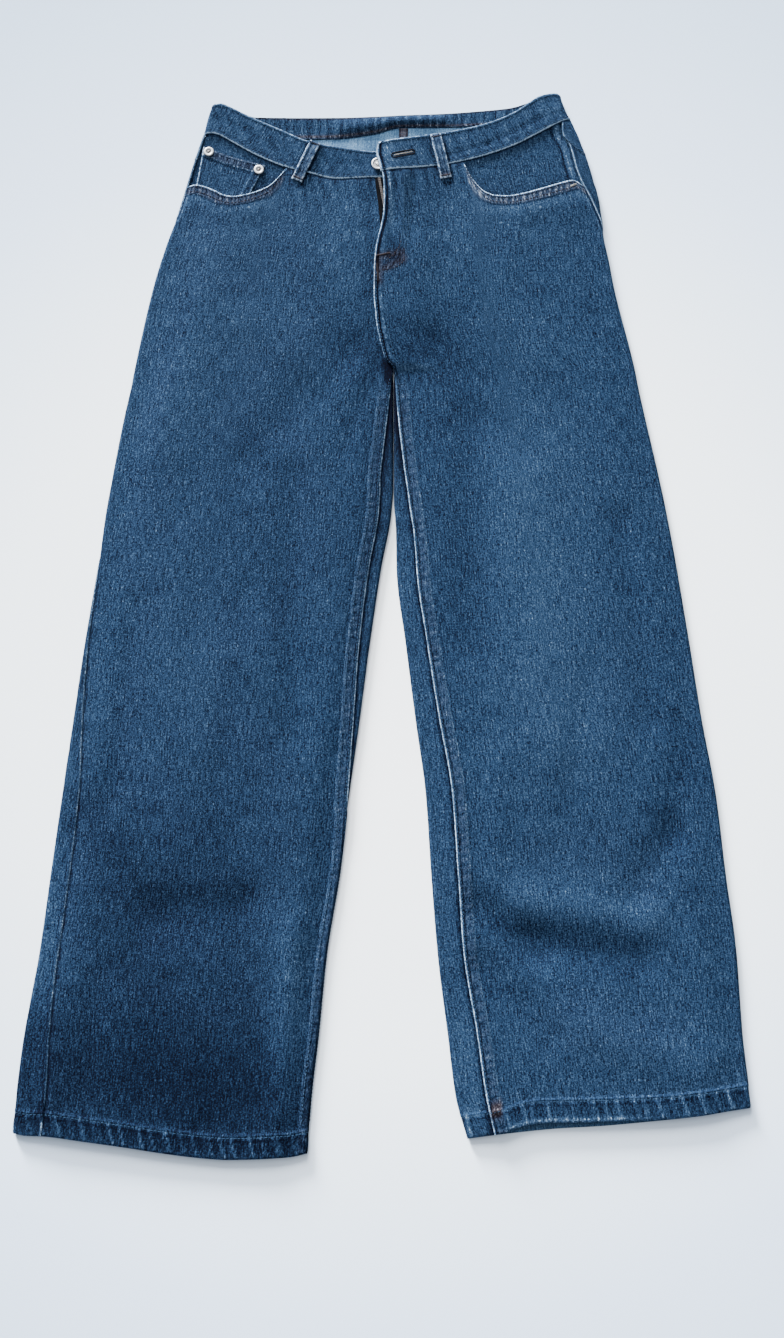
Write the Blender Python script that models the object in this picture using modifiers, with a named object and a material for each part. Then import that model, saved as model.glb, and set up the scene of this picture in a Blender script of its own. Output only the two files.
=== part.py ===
"""Wide leg jeans laid flat on their back, front side up.

Metres. +Y runs from the hems to the waist, +Z is up and +X is the wearer's left.
The cloth lies as flattened tubes: every panel is a thin wall on the outer face of
a tube whose side folds are half circles and whose underside is the plane z = 0.
Lengths along Y are counted from the crotch, and the finished part is moved so
that the middle of its footprint is the origin.
"""
import math

import bmesh
import bpy
import numpy as np

COLLECTION = "wide_leg_jeans"

# Cloth
WALL = 0.0012            # one layer of denim
BAND_WALL = 2 * WALL     # the waistband is two layers
SEAM_GAP = 0.0003        # clearance where pieces meet edge to edge
BAND_SEAM_GAP = 0.0006   # the same under the curved edge of the waistband
LAYER_GAP = 0.0004       # clearance where one piece lies on another
HEM_DEPTH = 0.022
HEM_STEP = 0.0022        # it rises to its full thickness over this length
HEM_RISE = 0.0009        # how far the folded hem stands proud
LAP_RISE = 0.0028        # the left front lies this far above the right one at the fly
BUTTON_RISE = 0.0034     # and this much more where it rests on the button
POCKET_BULK = 0.0012     # room under the edge of each pocket opening
DEEPEST_TROUGH = -0.0012
OUTER_RIM = 0.045        # the top side swells to its full height over these lengths
INNER_RIM = 0.040
BACK_RISE = 0.0015       # room under the seat for the back pockets and rear loops
BACK_RISE_MARGIN = 0.038 # that room reaches this far past a back pocket's sides

# Where the middle of the footprint lies, from the crotch
CENTRE_X = -0.0094
CENTRE_Y = -0.2437

# Hardware and small pieces
BUTTON_PLACE = (-0.0154, 0.2446)
BUTTON_RADIUS = 0.0071
BUTTON_STEM_RADIUS = 0.0036
BUTTON_HEIGHT = 0.0030
RIVET_RADIUS = 0.0055
RIVET_HEIGHT = 0.0012
RIVET_BASE = 0.0064
LOOP_WIDTH = 0.0125
LOOP_WALL = 0.0016
LOOP_BULGE = 0.0014
REAR_LOOP_WALL = 0.0011
REAR_LOOP_FOOT = 0.0090  # reach of a rear loop below the waistband
TAPE_WALL = 0.0008
PATCH_WALL = 0.0011      # coin pocket and back pockets
FACING_HEIGHT = 0.0040   # outer face of the pocket facings
FACING_REACH = 0.0140    # they run on this far under the edge of the pocket opening
FACING_ENDS = {"right": -0.098, "left": 0.064}


class Table:
    """A short table with named columns, read smoothly along its first column."""

    def __init__(self, names, rows):
        self.names = names.split()
        self.rows = np.array(sorted(rows), dtype=float)

    def read(self, name, key):
        keys = self.rows[:, 0]
        values = self.rows[:, self.names.index(name)]
        steps = np.diff(keys)
        slopes = np.diff(values) / steps
        row = int(np.clip(np.searchsorted(keys, key) - 1, 0, len(steps) - 1))
        share = min(max((key - keys[row]) / steps[row], 0.0), 1.0)
        start = self.tangent(slopes, row) * steps[row]
        stop = self.tangent(slopes, row + 1) * steps[row]
        rise = values[row + 1] - values[row]
        bend = 3 * rise - 2 * start - stop
        twist = start + stop - 2 * rise
        return float(values[row] + share * (start + share * (bend + share * twist)))

    @staticmethod
    def tangent(slopes, row):
        """Slope at a row: level at a turning point, so that no curve overshoots."""
        if row == 0:
            return slopes[0]
        if row == len(slopes):
            return slopes[-1]
        before, after = slopes[row - 1], slopes[row]
        if before * after <= 0:
            return 0.0
        return 2 * before * after / (before + after)


# Outline of each leg and of the seat above it, and how far in from the fold its
# seams lie on the top. A seam with a negative inset is just under the fold.
RIGHT_OUTLINE = Table("level outer inner outseam inseam", [
    (-0.820, -0.3690, -0.0830, 0.0270, -0.0025),
    (-0.760, -0.3665, -0.0790, 0.0300, -0.0025),
    (-0.700, -0.3615, -0.0725, 0.0260, -0.0025),
    (-0.620, -0.3500, -0.0650, 0.0200, -0.0025),
    (-0.540, -0.3420, -0.0525, 0.0200, -0.0025),
    (-0.460, -0.3340, -0.0430, 0.0180, 0.0010),
    (-0.380, -0.3255, -0.0325, 0.0100, 0.0060),
    (-0.300, -0.3170, -0.0225, 0.0045, 0.0105),
    (-0.220, -0.3065, -0.0110, 0.0005, 0.0125),
    (-0.160, -0.3005, -0.0005, -0.0022, 0.0130),
    (-0.127, -0.2960, 0.0016, -0.0025, 0.0135),
    (-0.087, -0.2903, 0.0016, -0.0025, 0.0100),
    (-0.047, -0.2840, 0.0016, -0.0025, 0.0055),
    (-0.014, -0.2780, 0.0016, -0.0025, 0.0020),
    (0.000, -0.2760, 0.0016, -0.0025, 0.0000),
    (0.100, -0.2580, 0.0016, -0.0025, 0.0000),
    (0.150, -0.2450, 0.0016, -0.0020, 0.0000),
    (0.1900, -0.2325, 0.0016, 0.0010, 0.0000),
    (0.2265, -0.2233, 0.0016, 0.0022, 0.0000),
    (0.2544, -0.2160, 0.0016, 0.0026, 0.0000),
    (0.2830, -0.2077, 0.0016, 0.0026, 0.0000),
])
LEFT_OUTLINE = Table("level outer inner outseam inseam", [
    (-0.800, 0.3500, 0.0728, -0.0025, 0.0270),
    (-0.760, 0.3490, 0.0618, -0.0025, 0.0295),
    (-0.700, 0.3445, 0.0545, -0.0025, 0.0285),
    (-0.620, 0.3420, 0.0450, -0.0025, 0.0255),
    (-0.540, 0.3345, 0.0390, -0.0025, 0.0265),
    (-0.460, 0.3280, 0.0340, -0.0025, 0.0265),
    (-0.380, 0.3165, 0.0235, -0.0025, 0.0240),
    (-0.300, 0.3070, 0.0135, -0.0025, 0.0220),
    (-0.220, 0.2970, 0.0045, -0.0025, 0.0205),
    (-0.180, 0.2915, 0.0040, -0.0025, 0.0180),
    (-0.147, 0.2865, 0.0018, -0.0025, 0.0155),
    (-0.107, 0.2795, 0.0016, -0.0025, 0.0105),
    (-0.047, 0.2683, 0.0016, -0.0025, 0.0040),
    (-0.014, 0.2625, 0.0016, -0.0025, 0.0015),
    (0.000, 0.2605, 0.0016, -0.0025, 0.0000),
    (0.100, 0.2400, 0.0016, -0.0025, 0.0000),
    (0.130, 0.2355, 0.0016, -0.0022, 0.0000),
    (0.160, 0.2305, 0.0016, -0.0008, 0.0000),
    (0.175, 0.2295, 0.0016, 0.0015, 0.0000),
    (0.190, 0.2280, 0.0016, 0.0057, 0.0000),
    (0.205, 0.2262, 0.0016, 0.0101, 0.0000),
    (0.226, 0.2212, 0.0016, 0.0147, 0.0000),
    (0.241, 0.2176, 0.0016, 0.0160, 0.0000),
    (0.255, 0.2139, 0.0016, 0.0150, 0.0000),
    (0.268, 0.2097, 0.0016, 0.0142, 0.0000),
    (0.281, 0.2054, 0.0016, 0.0168, 0.0000),
    (0.304, 0.1962, 0.0016, 0.0080, 0.0000),
])

# Height of the flattened tube at its side folds, and how much its top swells
THICKNESS = Table("level tube crown", [
    (-0.820, 0.0052, 0.0026),
    (-0.600, 0.0050, 0.0032),
    (-0.300, 0.0050, 0.0038),
    (0.000, 0.0052, 0.0026),
    (0.150, 0.0060, 0.0014),
    (0.235, 0.0060, 0.0006),
    (0.300, 0.0060, 0.0006),
])

# Lower edges of the legs; the left front's is drawn up a little over the back's
RIGHT_HEM = Table("x level", [
    (-0.369, -0.7940),
    (-0.356, -0.7966),
    (-0.340, -0.7972),
    (-0.300, -0.8023),
    (-0.260, -0.8077),
    (-0.220, -0.8137),
    (-0.180, -0.8183),
    (-0.160, -0.8195),
    (-0.139, -0.8192),
    (-0.099, -0.8169),
    (-0.083, -0.8135),
])
LEFT_HEM = Table("x level", [
    (0.072, -0.7995),
    (0.115, -0.7941),
    (0.158, -0.7898),
    (0.202, -0.7873),
    (0.243, -0.7838),
    (0.303, -0.7776),
    (0.328, -0.7733),
    (0.350, -0.7700),
])
LEFT_FRONT_HEM = Table("x level", [
    (0.072, -0.7995),
    (0.100, -0.7958),
    (0.112, -0.7930),
    (0.124, -0.7886),
    (0.134, -0.7863),
    (0.144, -0.7850),
    (0.182, -0.7842),
    (0.221, -0.7832),
    (0.243, -0.7825),
    (0.263, -0.7816),
    (0.303, -0.7776),
    (0.328, -0.7733),
    (0.350, -0.7700),
])

# Edge of each pocket opening, from the side seam up past the waistband seam
RIGHT_OPENING = Table("x level", [
    (-0.224, 0.2180),
    (-0.215, 0.2199),
    (-0.205, 0.2177),
    (-0.194, 0.2129),
    (-0.183, 0.2073),
    (-0.174, 0.2057),
    (-0.161, 0.2078),
    (-0.144, 0.2135),
    (-0.134, 0.2194),
    (-0.123, 0.2315),
    (-0.115, 0.2420),
    (-0.110, 0.2490),
])
LEFT_OPENING = Table("x level", [
    (0.0745, 0.2570),
    (0.0785, 0.2478),
    (0.0855, 0.2320),
    (0.0930, 0.2206),
    (0.1017, 0.2121),
    (0.1126, 0.2078),
    (0.1260, 0.2072),
    (0.1400, 0.2090),
    (0.1620, 0.2151),
    (0.1840, 0.2221),
    (0.1980, 0.2254),
    (0.2060, 0.2211),
    (0.2120, 0.2160),
])
RIGHT_POCKET_CORNER = 0.475    # share of the front's width from side seam to corner
LEFT_POCKET_CORNER = 0.585

# Edge of the left front over the right one, up the fly
FLY_EDGE = Table("level x", [
    (0.0000, 0.00175),
    (0.0045, 0.00175),
    (0.0080, -0.0270),
    (0.0124, -0.0300),
    (0.0180, -0.0203),
    (0.0240, -0.0156),
    (0.0302, -0.0138),
    (0.0358, -0.0136),
    (0.0474, -0.0159),
    (0.0706, -0.0184),
    (0.0942, -0.0200),
    (0.1178, -0.0196),
    (0.1343, -0.0188),
    (0.1533, -0.0160),
    (0.1724, -0.0116),
    (0.1880, -0.0094),
    (0.2070, -0.0090),
    (0.2253, -0.0099),
    (0.2400, -0.0130),
])

# Waistband edges: the right front, the left front that laps over it, and the back
RIGHT_BAND = Table("x lower upper", [
    (-0.208, 0.2820, 0.3155),
    (-0.199, 0.2830, 0.3183),
    (-0.190, 0.2807, 0.3197),
    (-0.180, 0.2747, 0.3159),
    (-0.165, 0.2655, 0.3078),
    (-0.150, 0.2567, 0.3004),
    (-0.120, 0.2430, 0.2863),
    (-0.093, 0.2352, 0.2738),
    (-0.060, 0.2276, 0.2667),
    (-0.020, 0.2296, 0.2609),
    (0.018, 0.2300, 0.2600),
])
LEFT_BAND = Table("x lower upper", [
    (-0.016, 0.2328, 0.2685),
    (0.000, 0.2362, 0.2724),
    (0.045, 0.2425, 0.2817),
    (0.080, 0.2498, 0.2889),
    (0.105, 0.2570, 0.2957),
    (0.135, 0.2686, 0.3092),
    (0.155, 0.2795, 0.3235),
    (0.165, 0.2852, 0.3296),
    (0.180, 0.2938, 0.3323),
    (0.190, 0.2988, 0.3285),
    (0.198, 0.3008, 0.3190),
])
BACK_BAND = Table("x lower upper", [
    (-0.208, 0.2820, 0.3155),
    (-0.199, 0.2830, 0.3183),
    (-0.190, 0.2825, 0.3190),
    (-0.165, 0.2815, 0.3095),
    (-0.150, 0.2805, 0.3037),
    (-0.100, 0.2773, 0.3029),
    (-0.060, 0.2779, 0.3031),
    (-0.020, 0.2835, 0.3045),
    (0.010, 0.2915, 0.3062),
    (0.060, 0.2920, 0.3083),
    (0.100, 0.2940, 0.3115),
    (0.130, 0.2955, 0.3150),
    (0.155, 0.2975, 0.3235),
    (0.165, 0.2980, 0.3296),
    (0.180, 0.2995, 0.3323),
    (0.190, 0.3005, 0.3285),
    (0.198, 0.3008, 0.3190),
])
BAND_FOLDS = Table("share right left", [
    (0.0, -0.2075, 0.1975),
    (0.5, -0.2042, 0.1915),
    (1.0, -0.1990, 0.1865),
])
BAND_HEIGHT = 0.0066     # of the flattened waistband at its side folds
BAND_ARCH = 0.0036       # the slack back of the waistband arches up by this much
RIGHT_BAND_END = 0.018
LEFT_BAND_END = Table("share x", [
    (0.00, -0.0124),
    (0.30, -0.0146),
    (0.65, -0.0172),
    (0.85, -0.0168),
    (1.00, -0.0142),
])

# Centre back seam, and the yoke seam as it runs in from the side fold
CENTRE_BACK = Table("level x", [
    (0.000, 0.0016),
    (0.150, 0.0070),
    (0.300, 0.0120),
])
RIGHT_YOKE = Table("inset level", [
    (-0.215, 0.2220),
    (-0.100, 0.2330),
    (0.000, 0.2500),
    (0.012, 0.2620),
])
LEFT_YOKE = Table("inset level", [
    (-0.200, 0.2220),
    (-0.100, 0.2360),
    (0.000, 0.2560),
    (0.020, 0.2820),
])

# Soft ridges (above zero) and troughs (below) of the top side, each along a line
FOLDS = Table("number x0 y0 x1 y1 width rise", [
    (1, -0.105, -0.120, -0.102, -0.400, 0.018, -0.0018),     # long crease of the right leg
    (2, -0.312, -0.480, -0.235, -0.585, 0.022, -0.0026),
    (3, -0.235, -0.585, -0.150, -0.570, 0.026, -0.0020),
    (4, -0.150, -0.575, -0.120, -0.760, 0.020, -0.0018),
    (5, -0.345, -0.520, -0.345, -0.760, 0.018, 0.0026),
    (6, -0.095, -0.600, -0.105, -0.770, 0.018, 0.0022),
    (7, -0.250, -0.640, -0.180, -0.780, 0.040, -0.0020),
    (8, -0.180, -0.330, -0.230, -0.520, 0.040, 0.0022),
    (9, -0.240, -0.080, -0.190, 0.140, 0.036, 0.0018),
    (10, -0.060, 0.020, -0.150, -0.100, 0.026, -0.0018),
    (11, 0.240, -0.170, 0.268, -0.380, 0.018, -0.0020),      # long crease of the left leg
    (12, 0.302, -0.390, 0.285, -0.500, 0.020, -0.0026),
    (13, 0.285, -0.500, 0.238, -0.570, 0.020, -0.0020),
    (14, 0.088, -0.575, 0.140, -0.612, 0.020, -0.0028),      # smile across the shin
    (15, 0.140, -0.612, 0.245, -0.628, 0.020, -0.0026),
    (16, 0.130, -0.570, 0.250, -0.585, 0.022, 0.0022),
    (17, 0.090, -0.635, 0.155, -0.700, 0.018, -0.0022),
    (18, 0.135, -0.120, 0.165, -0.400, 0.050, 0.0024),
    (19, 0.085, -0.060, 0.085, -0.300, 0.024, -0.0018),
    (20, 0.040, 0.030, 0.130, -0.090, 0.024, -0.0018),
    (21, 0.070, 0.150, 0.150, 0.020, 0.026, 0.0014),
    (22, 0.170, -0.690, 0.300, -0.730, 0.026, 0.0018),
    (23, -0.045, 0.100, -0.030, 0.170, 0.020, 0.0010),
    (24, -0.150, 0.060, -0.060, -0.010, 0.026, 0.0014),
])

# Coin pocket on the right facing: its upper edge falls towards the front
COIN_POCKET = Table("share x top", [
    (0.0, -0.2075, 0.2668),
    (0.5, -0.1745, 0.2538),
    (1.0, -0.1395, 0.2440),
])
COIN_POCKET_LOWER_LEFT = -0.2174
COIN_POCKET_LOWER_RIGHT = -0.1600
COIN_POCKET_FOOT = 0.2000
RIVET_PLACES = ((-0.2014, 0.2603), (-0.1460, 0.2384))

# Zip tape on the right front, beside and under the edge of the left one
TAPE_EDGE = Table("level x", [
    (0.1200, -0.0120),
    (0.1660, -0.0125),
    (0.1774, -0.0133),
    (0.1918, -0.0146),
    (0.2062, -0.0164),
    (0.2207, -0.0181),
    (0.2280, -0.0186),
])
TAPE_HIDDEN_SIDE = 0.0030
TAPE_LEVELS = (0.1200, 0.1420, 0.1600, 0.1740, 0.1880, 0.2020, 0.2160, 0.2278)

# Front belt loops: middle of the upper end, middle of the lower end
RIGHT_LOOP = ((-0.0842, 0.2716), (-0.1045, 0.2247))
LEFT_LOOP = ((0.0479, 0.2804), (0.0593, 0.2278))
REAR_LOOPS = {"right": -0.085, "middle": 0.010, "left": 0.085}

# Back pockets, under the seat
BACK_POCKET_MIDDLES = (-0.112, 0.118)
BACK_POCKET_WIDTH = 0.138
BACK_POCKET_LOW = 0.052
BACK_POCKET_HIGH = 0.186

# Columns beside a seam are at least a step apart, and stand at these shares of the
# fold's quarter turn where the seam lies on the fold
EDGE_STEP = 0.0015
FRONT_TURNS = (0.0, 0.5, 1.0)
BACK_TURNS = (1.0, 0.5, 0.0, -0.5, -1.0)
SIDE_COLUMNS = 6         # of a front, from its side to the pocket corner
MIDDLE_COLUMNS = 7       # and from there to its inner side
BOTTOM_COLUMNS = (0.0, 0.12, 0.30, 0.50, 0.66, 0.78, 0.89, 1.0)    # shares of the underside's width
FRONT_COLUMNS = 2 * len(FRONT_TURNS) + SIDE_COLUMNS + MIDDLE_COLUMNS + 1
BACK_COLUMNS = 2 * len(BACK_TURNS) + len(BOTTOM_COLUMNS) + 2

# Rows of every panel, counted from the crotch; the hem adds its own three
LEG_ROWS = 23
LEG_ROW_LOW = -0.752
LEG_ROW_HIGH = -0.030
CROTCH_ROWS = (-0.014, 0.000, 0.0045, 0.009, 0.016, 0.026, 0.040)
SEAT_ROWS = (0.062, 0.090, 0.118, 0.142, 0.160, 0.174, 0.188, 0.202)
YOKE_ROWS = 4
BAND_ROWS = 3
MIDDLE_HEM = -0.7950
HEM_BLEND = 0.300        # rows follow the hem's slant up to this height over it
CROTCH_OPENING = 0.038   # above the crotch the inner folds open out over this length


class Leg:
    """One leg with its half of the seat."""

    def __init__(self, side):
        right = side == "right"
        self.side = side
        self.inward = 1 if right else -1
        self.outline = RIGHT_OUTLINE if right else LEFT_OUTLINE
        self.hem = RIGHT_HEM if right else LEFT_HEM
        self.front_hem = RIGHT_HEM if right else LEFT_FRONT_HEM
        self.opening = RIGHT_OPENING if right else LEFT_OPENING
        self.band = RIGHT_BAND if right else LEFT_BAND
        self.yoke = RIGHT_YOKE if right else LEFT_YOKE
        self.pocket_corner = RIGHT_POCKET_CORNER if right else LEFT_POCKET_CORNER

    def outer(self, level):
        return self.outline.read("outer", level)

    def inner(self, level):
        """Inner fold, or the centre line above the crotch, half a gap short of it."""
        return self.outline.read("inner", level) - self.inward * SEAM_GAP / 2

    def front_edge(self, level):
        """Inner edge of the front above the crotch."""
        if self.side == "right":
            return self.inner(level)
        return FLY_EDGE.read("x", level)

    def front_top(self, x):
        """Upper edge of the front: the pocket opening, then the waistband seam."""
        return min(self.opening.read("level", x), self.band.read("lower", x) - BAND_SEAM_GAP)

    def back_edge(self, level):
        return CENTRE_BACK.read("x", level) - self.inward * SEAM_GAP / 2


RIGHT = Leg("right")
LEFT = Leg("left")


def ease(share):
    """Smooth step from 0 to 1."""
    share = min(max(share, 0.0), 1.0)
    return share * share * (3 - 2 * share)


def mix(start, stop, share):
    return start + (stop - start) * share


def fold_radius(level):
    return THICKNESS.read("tube", level) / 2


def quarter_path(level):
    return fold_radius(level) * math.pi / 2


def over_path(leg, level):
    """Way over the top from the tip of the outer fold to the tip of the inner one."""
    width = abs(leg.inner(level) - leg.outer(level))
    return width - 2 * fold_radius(level) + 2 * quarter_path(level)


def seam_path(leg, level, seam):
    """Way along the outer face from a fold's tip to a seam, from its inset."""
    inset = leg.outline.read(seam, level)
    radius = fold_radius(level)
    if inset >= radius:
        return quarter_path(level) + inset - radius
    if inset >= 0:
        return radius * math.acos(1 - inset / radius)
    return inset


def fold_rise(x, y):
    """Sum of the soft ridges and troughs at a place."""
    rise = 0.0
    for _, x0, y0, x1, y1, width, height in FOLDS.rows:
        along_x, along_y = x1 - x0, y1 - y0
        share = ((x - x0) * along_x + (y - y0) * along_y) / (along_x ** 2 + along_y ** 2)
        share = min(max(share, 0.0), 1.0)
        away = math.hypot(x - x0 - share * along_x, y - y0 - share * along_y)
        rise += height * math.exp(-(away / width) ** 2)
    return rise


def lap_rise(leg, x, y):
    """How far the left front and its waistband stand over the right one at the fly."""
    if leg.side == "right":
        return 0.0
    over_fly = ease((0.062 - x) / 0.040) * ease(y / 0.008)
    over_button = ease((0.030 - x) / 0.032) * ease((y - 0.170) / 0.060)
    return LAP_RISE * over_fly + BUTTON_RISE * over_button


def hem_rise(leg, x, y):
    return HEM_RISE * ease((leg.front_hem.read("level", x) + HEM_DEPTH + HEM_STEP - y) / HEM_STEP)


def pocket_bulk(x, y, from_outer):
    """Rise of a front over its pocket facing, beside the outer fold."""
    along = ease((y - 0.165) / 0.030) * ease((0.250 - y) / 0.018)
    across = ease(from_outer / 0.012) * ease((abs(x) - 0.120) / 0.030)
    return POCKET_BULK * along * across


def top_height(leg, x, y):
    """Height of the outer face of the top side."""
    from_outer = abs(x - leg.outer(y))
    inner_rim = ease(abs(x - leg.inner(y)) / INNER_RIM)
    rim = ease(from_outer / OUTER_RIM) * mix(inner_rim, 1.0, ease(y / 0.080))
    swell = rim * (THICKNESS.read("crown", y) + fold_rise(x, y))
    height = 2 * fold_radius(y) + max(swell, DEEPEST_TROUGH) + pocket_bulk(x, y, from_outer)
    return height + lap_rise(leg, x, y) + hem_rise(leg, x, y)


def seat_rise(x, y):
    """Room under the seat for the back pockets and the rear belt loops."""
    from_pocket = min(abs(x - middle) for middle in BACK_POCKET_MIDDLES) - BACK_POCKET_WIDTH / 2
    pocket = ease((BACK_RISE_MARGIN - from_pocket) / 0.014)
    pocket *= ease((y - BACK_POCKET_LOW + 0.024) / 0.016) * ease((BACK_POCKET_HIGH + 0.020 - y) / 0.014)
    loops = ease((y - BACK_BAND.read("lower", x) + 0.028) / 0.014) * ease((0.165 - abs(x)) / 0.020)
    return BACK_RISE * max(pocket, loops)


def tube_point(leg, level, path, depth):
    """Point of the flattened tube, depth under its outer face.

    The path runs over the top from the tip of the outer fold, and is negative below it.
    """
    radius = fold_radius(level)
    quarter = quarter_path(level)
    over = over_path(leg, level)
    width = abs(leg.inner(level) - leg.outer(level))
    if min(abs(path), abs(path - over)) <= quarter:
        at_outer = abs(path) <= quarter
        turn = (path if at_outer else over - path) / radius
        inset = radius - (radius - depth) * math.cos(turn)
        across = inset if at_outer else width - inset
        x = leg.outer(level) + leg.inward * across
        height = radius + (radius - depth) * math.sin(turn)
        height += hem_rise(leg, x, level) * max(math.sin(turn), 0.0)
        if not at_outer:
            height += lap_rise(leg, x, level)
    elif 0 < path < over:
        x = leg.outer(level) + leg.inward * (radius + path - quarter)
        height = top_height(leg, x, level) - depth
    else:
        across = radius - path - quarter if path < 0 else width - radius - (path - over - quarter)
        x = leg.outer(level) + leg.inward * across
        height = seat_rise(x, level) + depth
    return np.array((x, level, height))


def front_paths(leg, level):
    """Places of a front panel's columns along the tube, from outseam to inseam."""
    quarter = quarter_path(level)
    over = over_path(leg, level)
    first = seam_path(leg, level, "outseam") + SEAM_GAP / 2
    last = seam_path(leg, level, "inseam") + SEAM_GAP / 2
    outer = [first]
    inner = [over - last]
    for number, turn in enumerate(FRONT_TURNS, start=1):
        outer.append(max(turn * quarter, first + number * EDGE_STEP))
        inner.insert(0, over - max(turn * quarter, last + number * EDGE_STEP))
    corner = mix(outer[-1], inner[0], leg.pocket_corner)
    side = np.linspace(outer[-1], corner, SIDE_COLUMNS + 1)[1:]
    middle = np.linspace(corner, inner[0], MIDDLE_COLUMNS + 1)[1:-1]
    return outer + list(side) + list(middle) + inner


def front_point(leg, level, column, depth=0.0):
    """A point of a front panel, opened out flat above the crotch."""
    paths = front_paths(leg, level)
    point = tube_point(leg, level, paths[column], depth)
    if level <= 0:
        return point
    reach = quarter_path(level) - fold_radius(level) + abs(leg.front_edge(level) - leg.outer(level))
    share = (paths[column] - paths[0]) / (paths[-1] - paths[0])
    flat_path = mix(paths[0], reach, share)
    if flat_path <= quarter_path(level):
        return point
    x = leg.outer(level) + leg.inward * (fold_radius(level) + flat_path - quarter_path(level))
    flat = np.array((x, level, top_height(leg, x, level) - depth))
    return mix(point, flat, ease(level / CROTCH_OPENING))


def wrap_path(leg, level, seam, number):
    """Way from a fold's tip to a back column that wraps it, counted from the seam."""
    first = seam_path(leg, level, seam) - SEAM_GAP / 2
    if number == 0:
        return first
    return min(BACK_TURNS[number - 1] * quarter_path(level), first - number * EDGE_STEP / 2)


def back_point(leg, level, column, depth=0.0):
    """A point of a back panel, which wraps both folds and opens out above the crotch."""
    turns = len(BACK_TURNS)
    from_inseam = BACK_COLUMNS - 1 - column
    opening = ease(level / CROTCH_OPENING)
    edge = leg.back_edge(level)
    if column <= turns:
        return tube_point(leg, level, wrap_path(leg, level, "outseam", column), depth)
    if from_inseam <= turns:
        path = wrap_path(leg, level, "inseam", from_inseam)
        point = tube_point(leg, level, over_path(leg, level) - path, depth)
        x = edge + leg.inward * (path - wrap_path(leg, level, "inseam", 0))
        flat = np.array((x, level, seat_rise(x, level) + depth))
        return mix(point, flat, opening)
    start = leg.outer(level) + leg.inward * (fold_radius(level) + 0.004)
    stop = mix(leg.inner(level), edge, opening) - leg.inward * (fold_radius(level) + 0.006)
    x = mix(start, stop, BOTTOM_COLUMNS[column - turns - 1])
    return np.array((x, level, seat_rise(x, level) + depth))


def panel_levels(hem_level, top_level):
    """Levels of one column of a panel, from its hem to its upper edge."""
    levels = [hem_level, hem_level + HEM_DEPTH, hem_level + HEM_DEPTH + HEM_STEP]
    for level in np.linspace(LEG_ROW_LOW, LEG_ROW_HIGH, LEG_ROWS):
        near_hem = ease((LEG_ROW_LOW + HEM_BLEND - level) / HEM_BLEND)
        levels.append(level + near_hem * (hem_level - MIDDLE_HEM))
    return levels + list(CROTCH_ROWS) + list(SEAT_ROWS) + [top_level]


def meet_edge(level, edge_level):
    """Level where a column meets an edge that is given by the column's place."""
    for _ in range(8):
        level = edge_level(level)
    return level


def yoke_level(leg, level, column):
    """Level of the yoke seam at a back column, on the top side or under the seat."""
    x, _, height = back_point(leg, level, column)
    inset = abs(x - leg.outer(level))
    return leg.yoke.read("level", inset if height > fold_radius(level) else -inset)


def band_level(leg, level, column):
    """Level of the waistband's lower edge at a back column."""
    x, _, height = back_point(leg, level, column)
    floor = seat_rise(x, level)
    share = min(max((height - floor) / (2 * fold_radius(level) - floor), 0.0), 1.0)
    return mix(BACK_BAND.read("lower", x), leg.band.read("lower", x), share)


def wall_grid(point, columns, levels_of):
    """Outer and inner faces of a panel: a grid of points for each."""
    levels = [levels_of(column) for column in range(columns)]
    faces = []
    for depth in (0.0, WALL):
        faces.append([[point(level, column, depth) for level in levels[column]] for column in range(columns)])
    return np.array(faces)


def front_grid(leg):
    def levels_of(column):
        hem = meet_edge(MIDDLE_HEM, lambda level: leg.front_hem.read("level", front_point(leg, level, column)[0]))
        top = meet_edge(0.22, lambda level: leg.front_top(front_point(leg, level, column)[0]))
        return panel_levels(hem, top)

    return wall_grid(lambda *place: front_point(leg, *place), FRONT_COLUMNS, levels_of)


def back_grid(leg):
    def levels_of(column):
        hem = meet_edge(MIDDLE_HEM, lambda level: leg.hem.read("level", back_point(leg, level, column)[0]))
        top = meet_edge(0.24, lambda level: yoke_level(leg, level, column))
        return panel_levels(hem, top - SEAM_GAP / 2)

    return wall_grid(lambda *place: back_point(leg, *place), BACK_COLUMNS, levels_of)


def yoke_grid(leg):
    """The yoke continues the back panel's columns up to the waistband."""
    def levels_of(column):
        low = meet_edge(0.24, lambda level: yoke_level(leg, level, column)) + SEAM_GAP / 2
        high = meet_edge(0.28, lambda level: band_level(leg, level, column)) - BAND_SEAM_GAP
        return np.linspace(low, high, YOKE_ROWS + 1)

    return wall_grid(lambda *place: back_point(leg, *place), BACK_COLUMNS, levels_of)


def band_top(leg, x, y):
    """Height of the outer face of the waistband's front."""
    return BAND_HEIGHT + lap_rise(leg, x, y)


def band_front(leg, share, height, depth):
    """Front of the waistband: share runs from its fly end to the side fold."""
    radius = BAND_HEIGHT / 2
    end = RIGHT_BAND_END if leg.side == "right" else LEFT_BAND_END.read("x", height)
    x = mix(end, BAND_FOLDS.read(leg.side, height) + leg.inward * radius, share)
    y = mix(leg.band.read("lower", x), leg.band.read("upper", x), height)
    return (x, y, band_top(leg, x, y) - depth)


def band_fold(leg, turn, height, depth):
    """Side fold of the waistband: turn runs from the front over the tip to the back."""
    radius = BAND_HEIGHT / 2
    inset = radius - (radius - depth) * math.cos(turn)
    x = BAND_FOLDS.read(leg.side, height) + leg.inward * inset
    front = mix(leg.band.read("lower", x), leg.band.read("upper", x), height)
    back = mix(BACK_BAND.read("lower", x), BACK_BAND.read("upper", x), height)
    return (x, mix(back, front, (1 + math.sin(turn)) / 2), radius + (radius - depth) * math.sin(turn))


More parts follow.
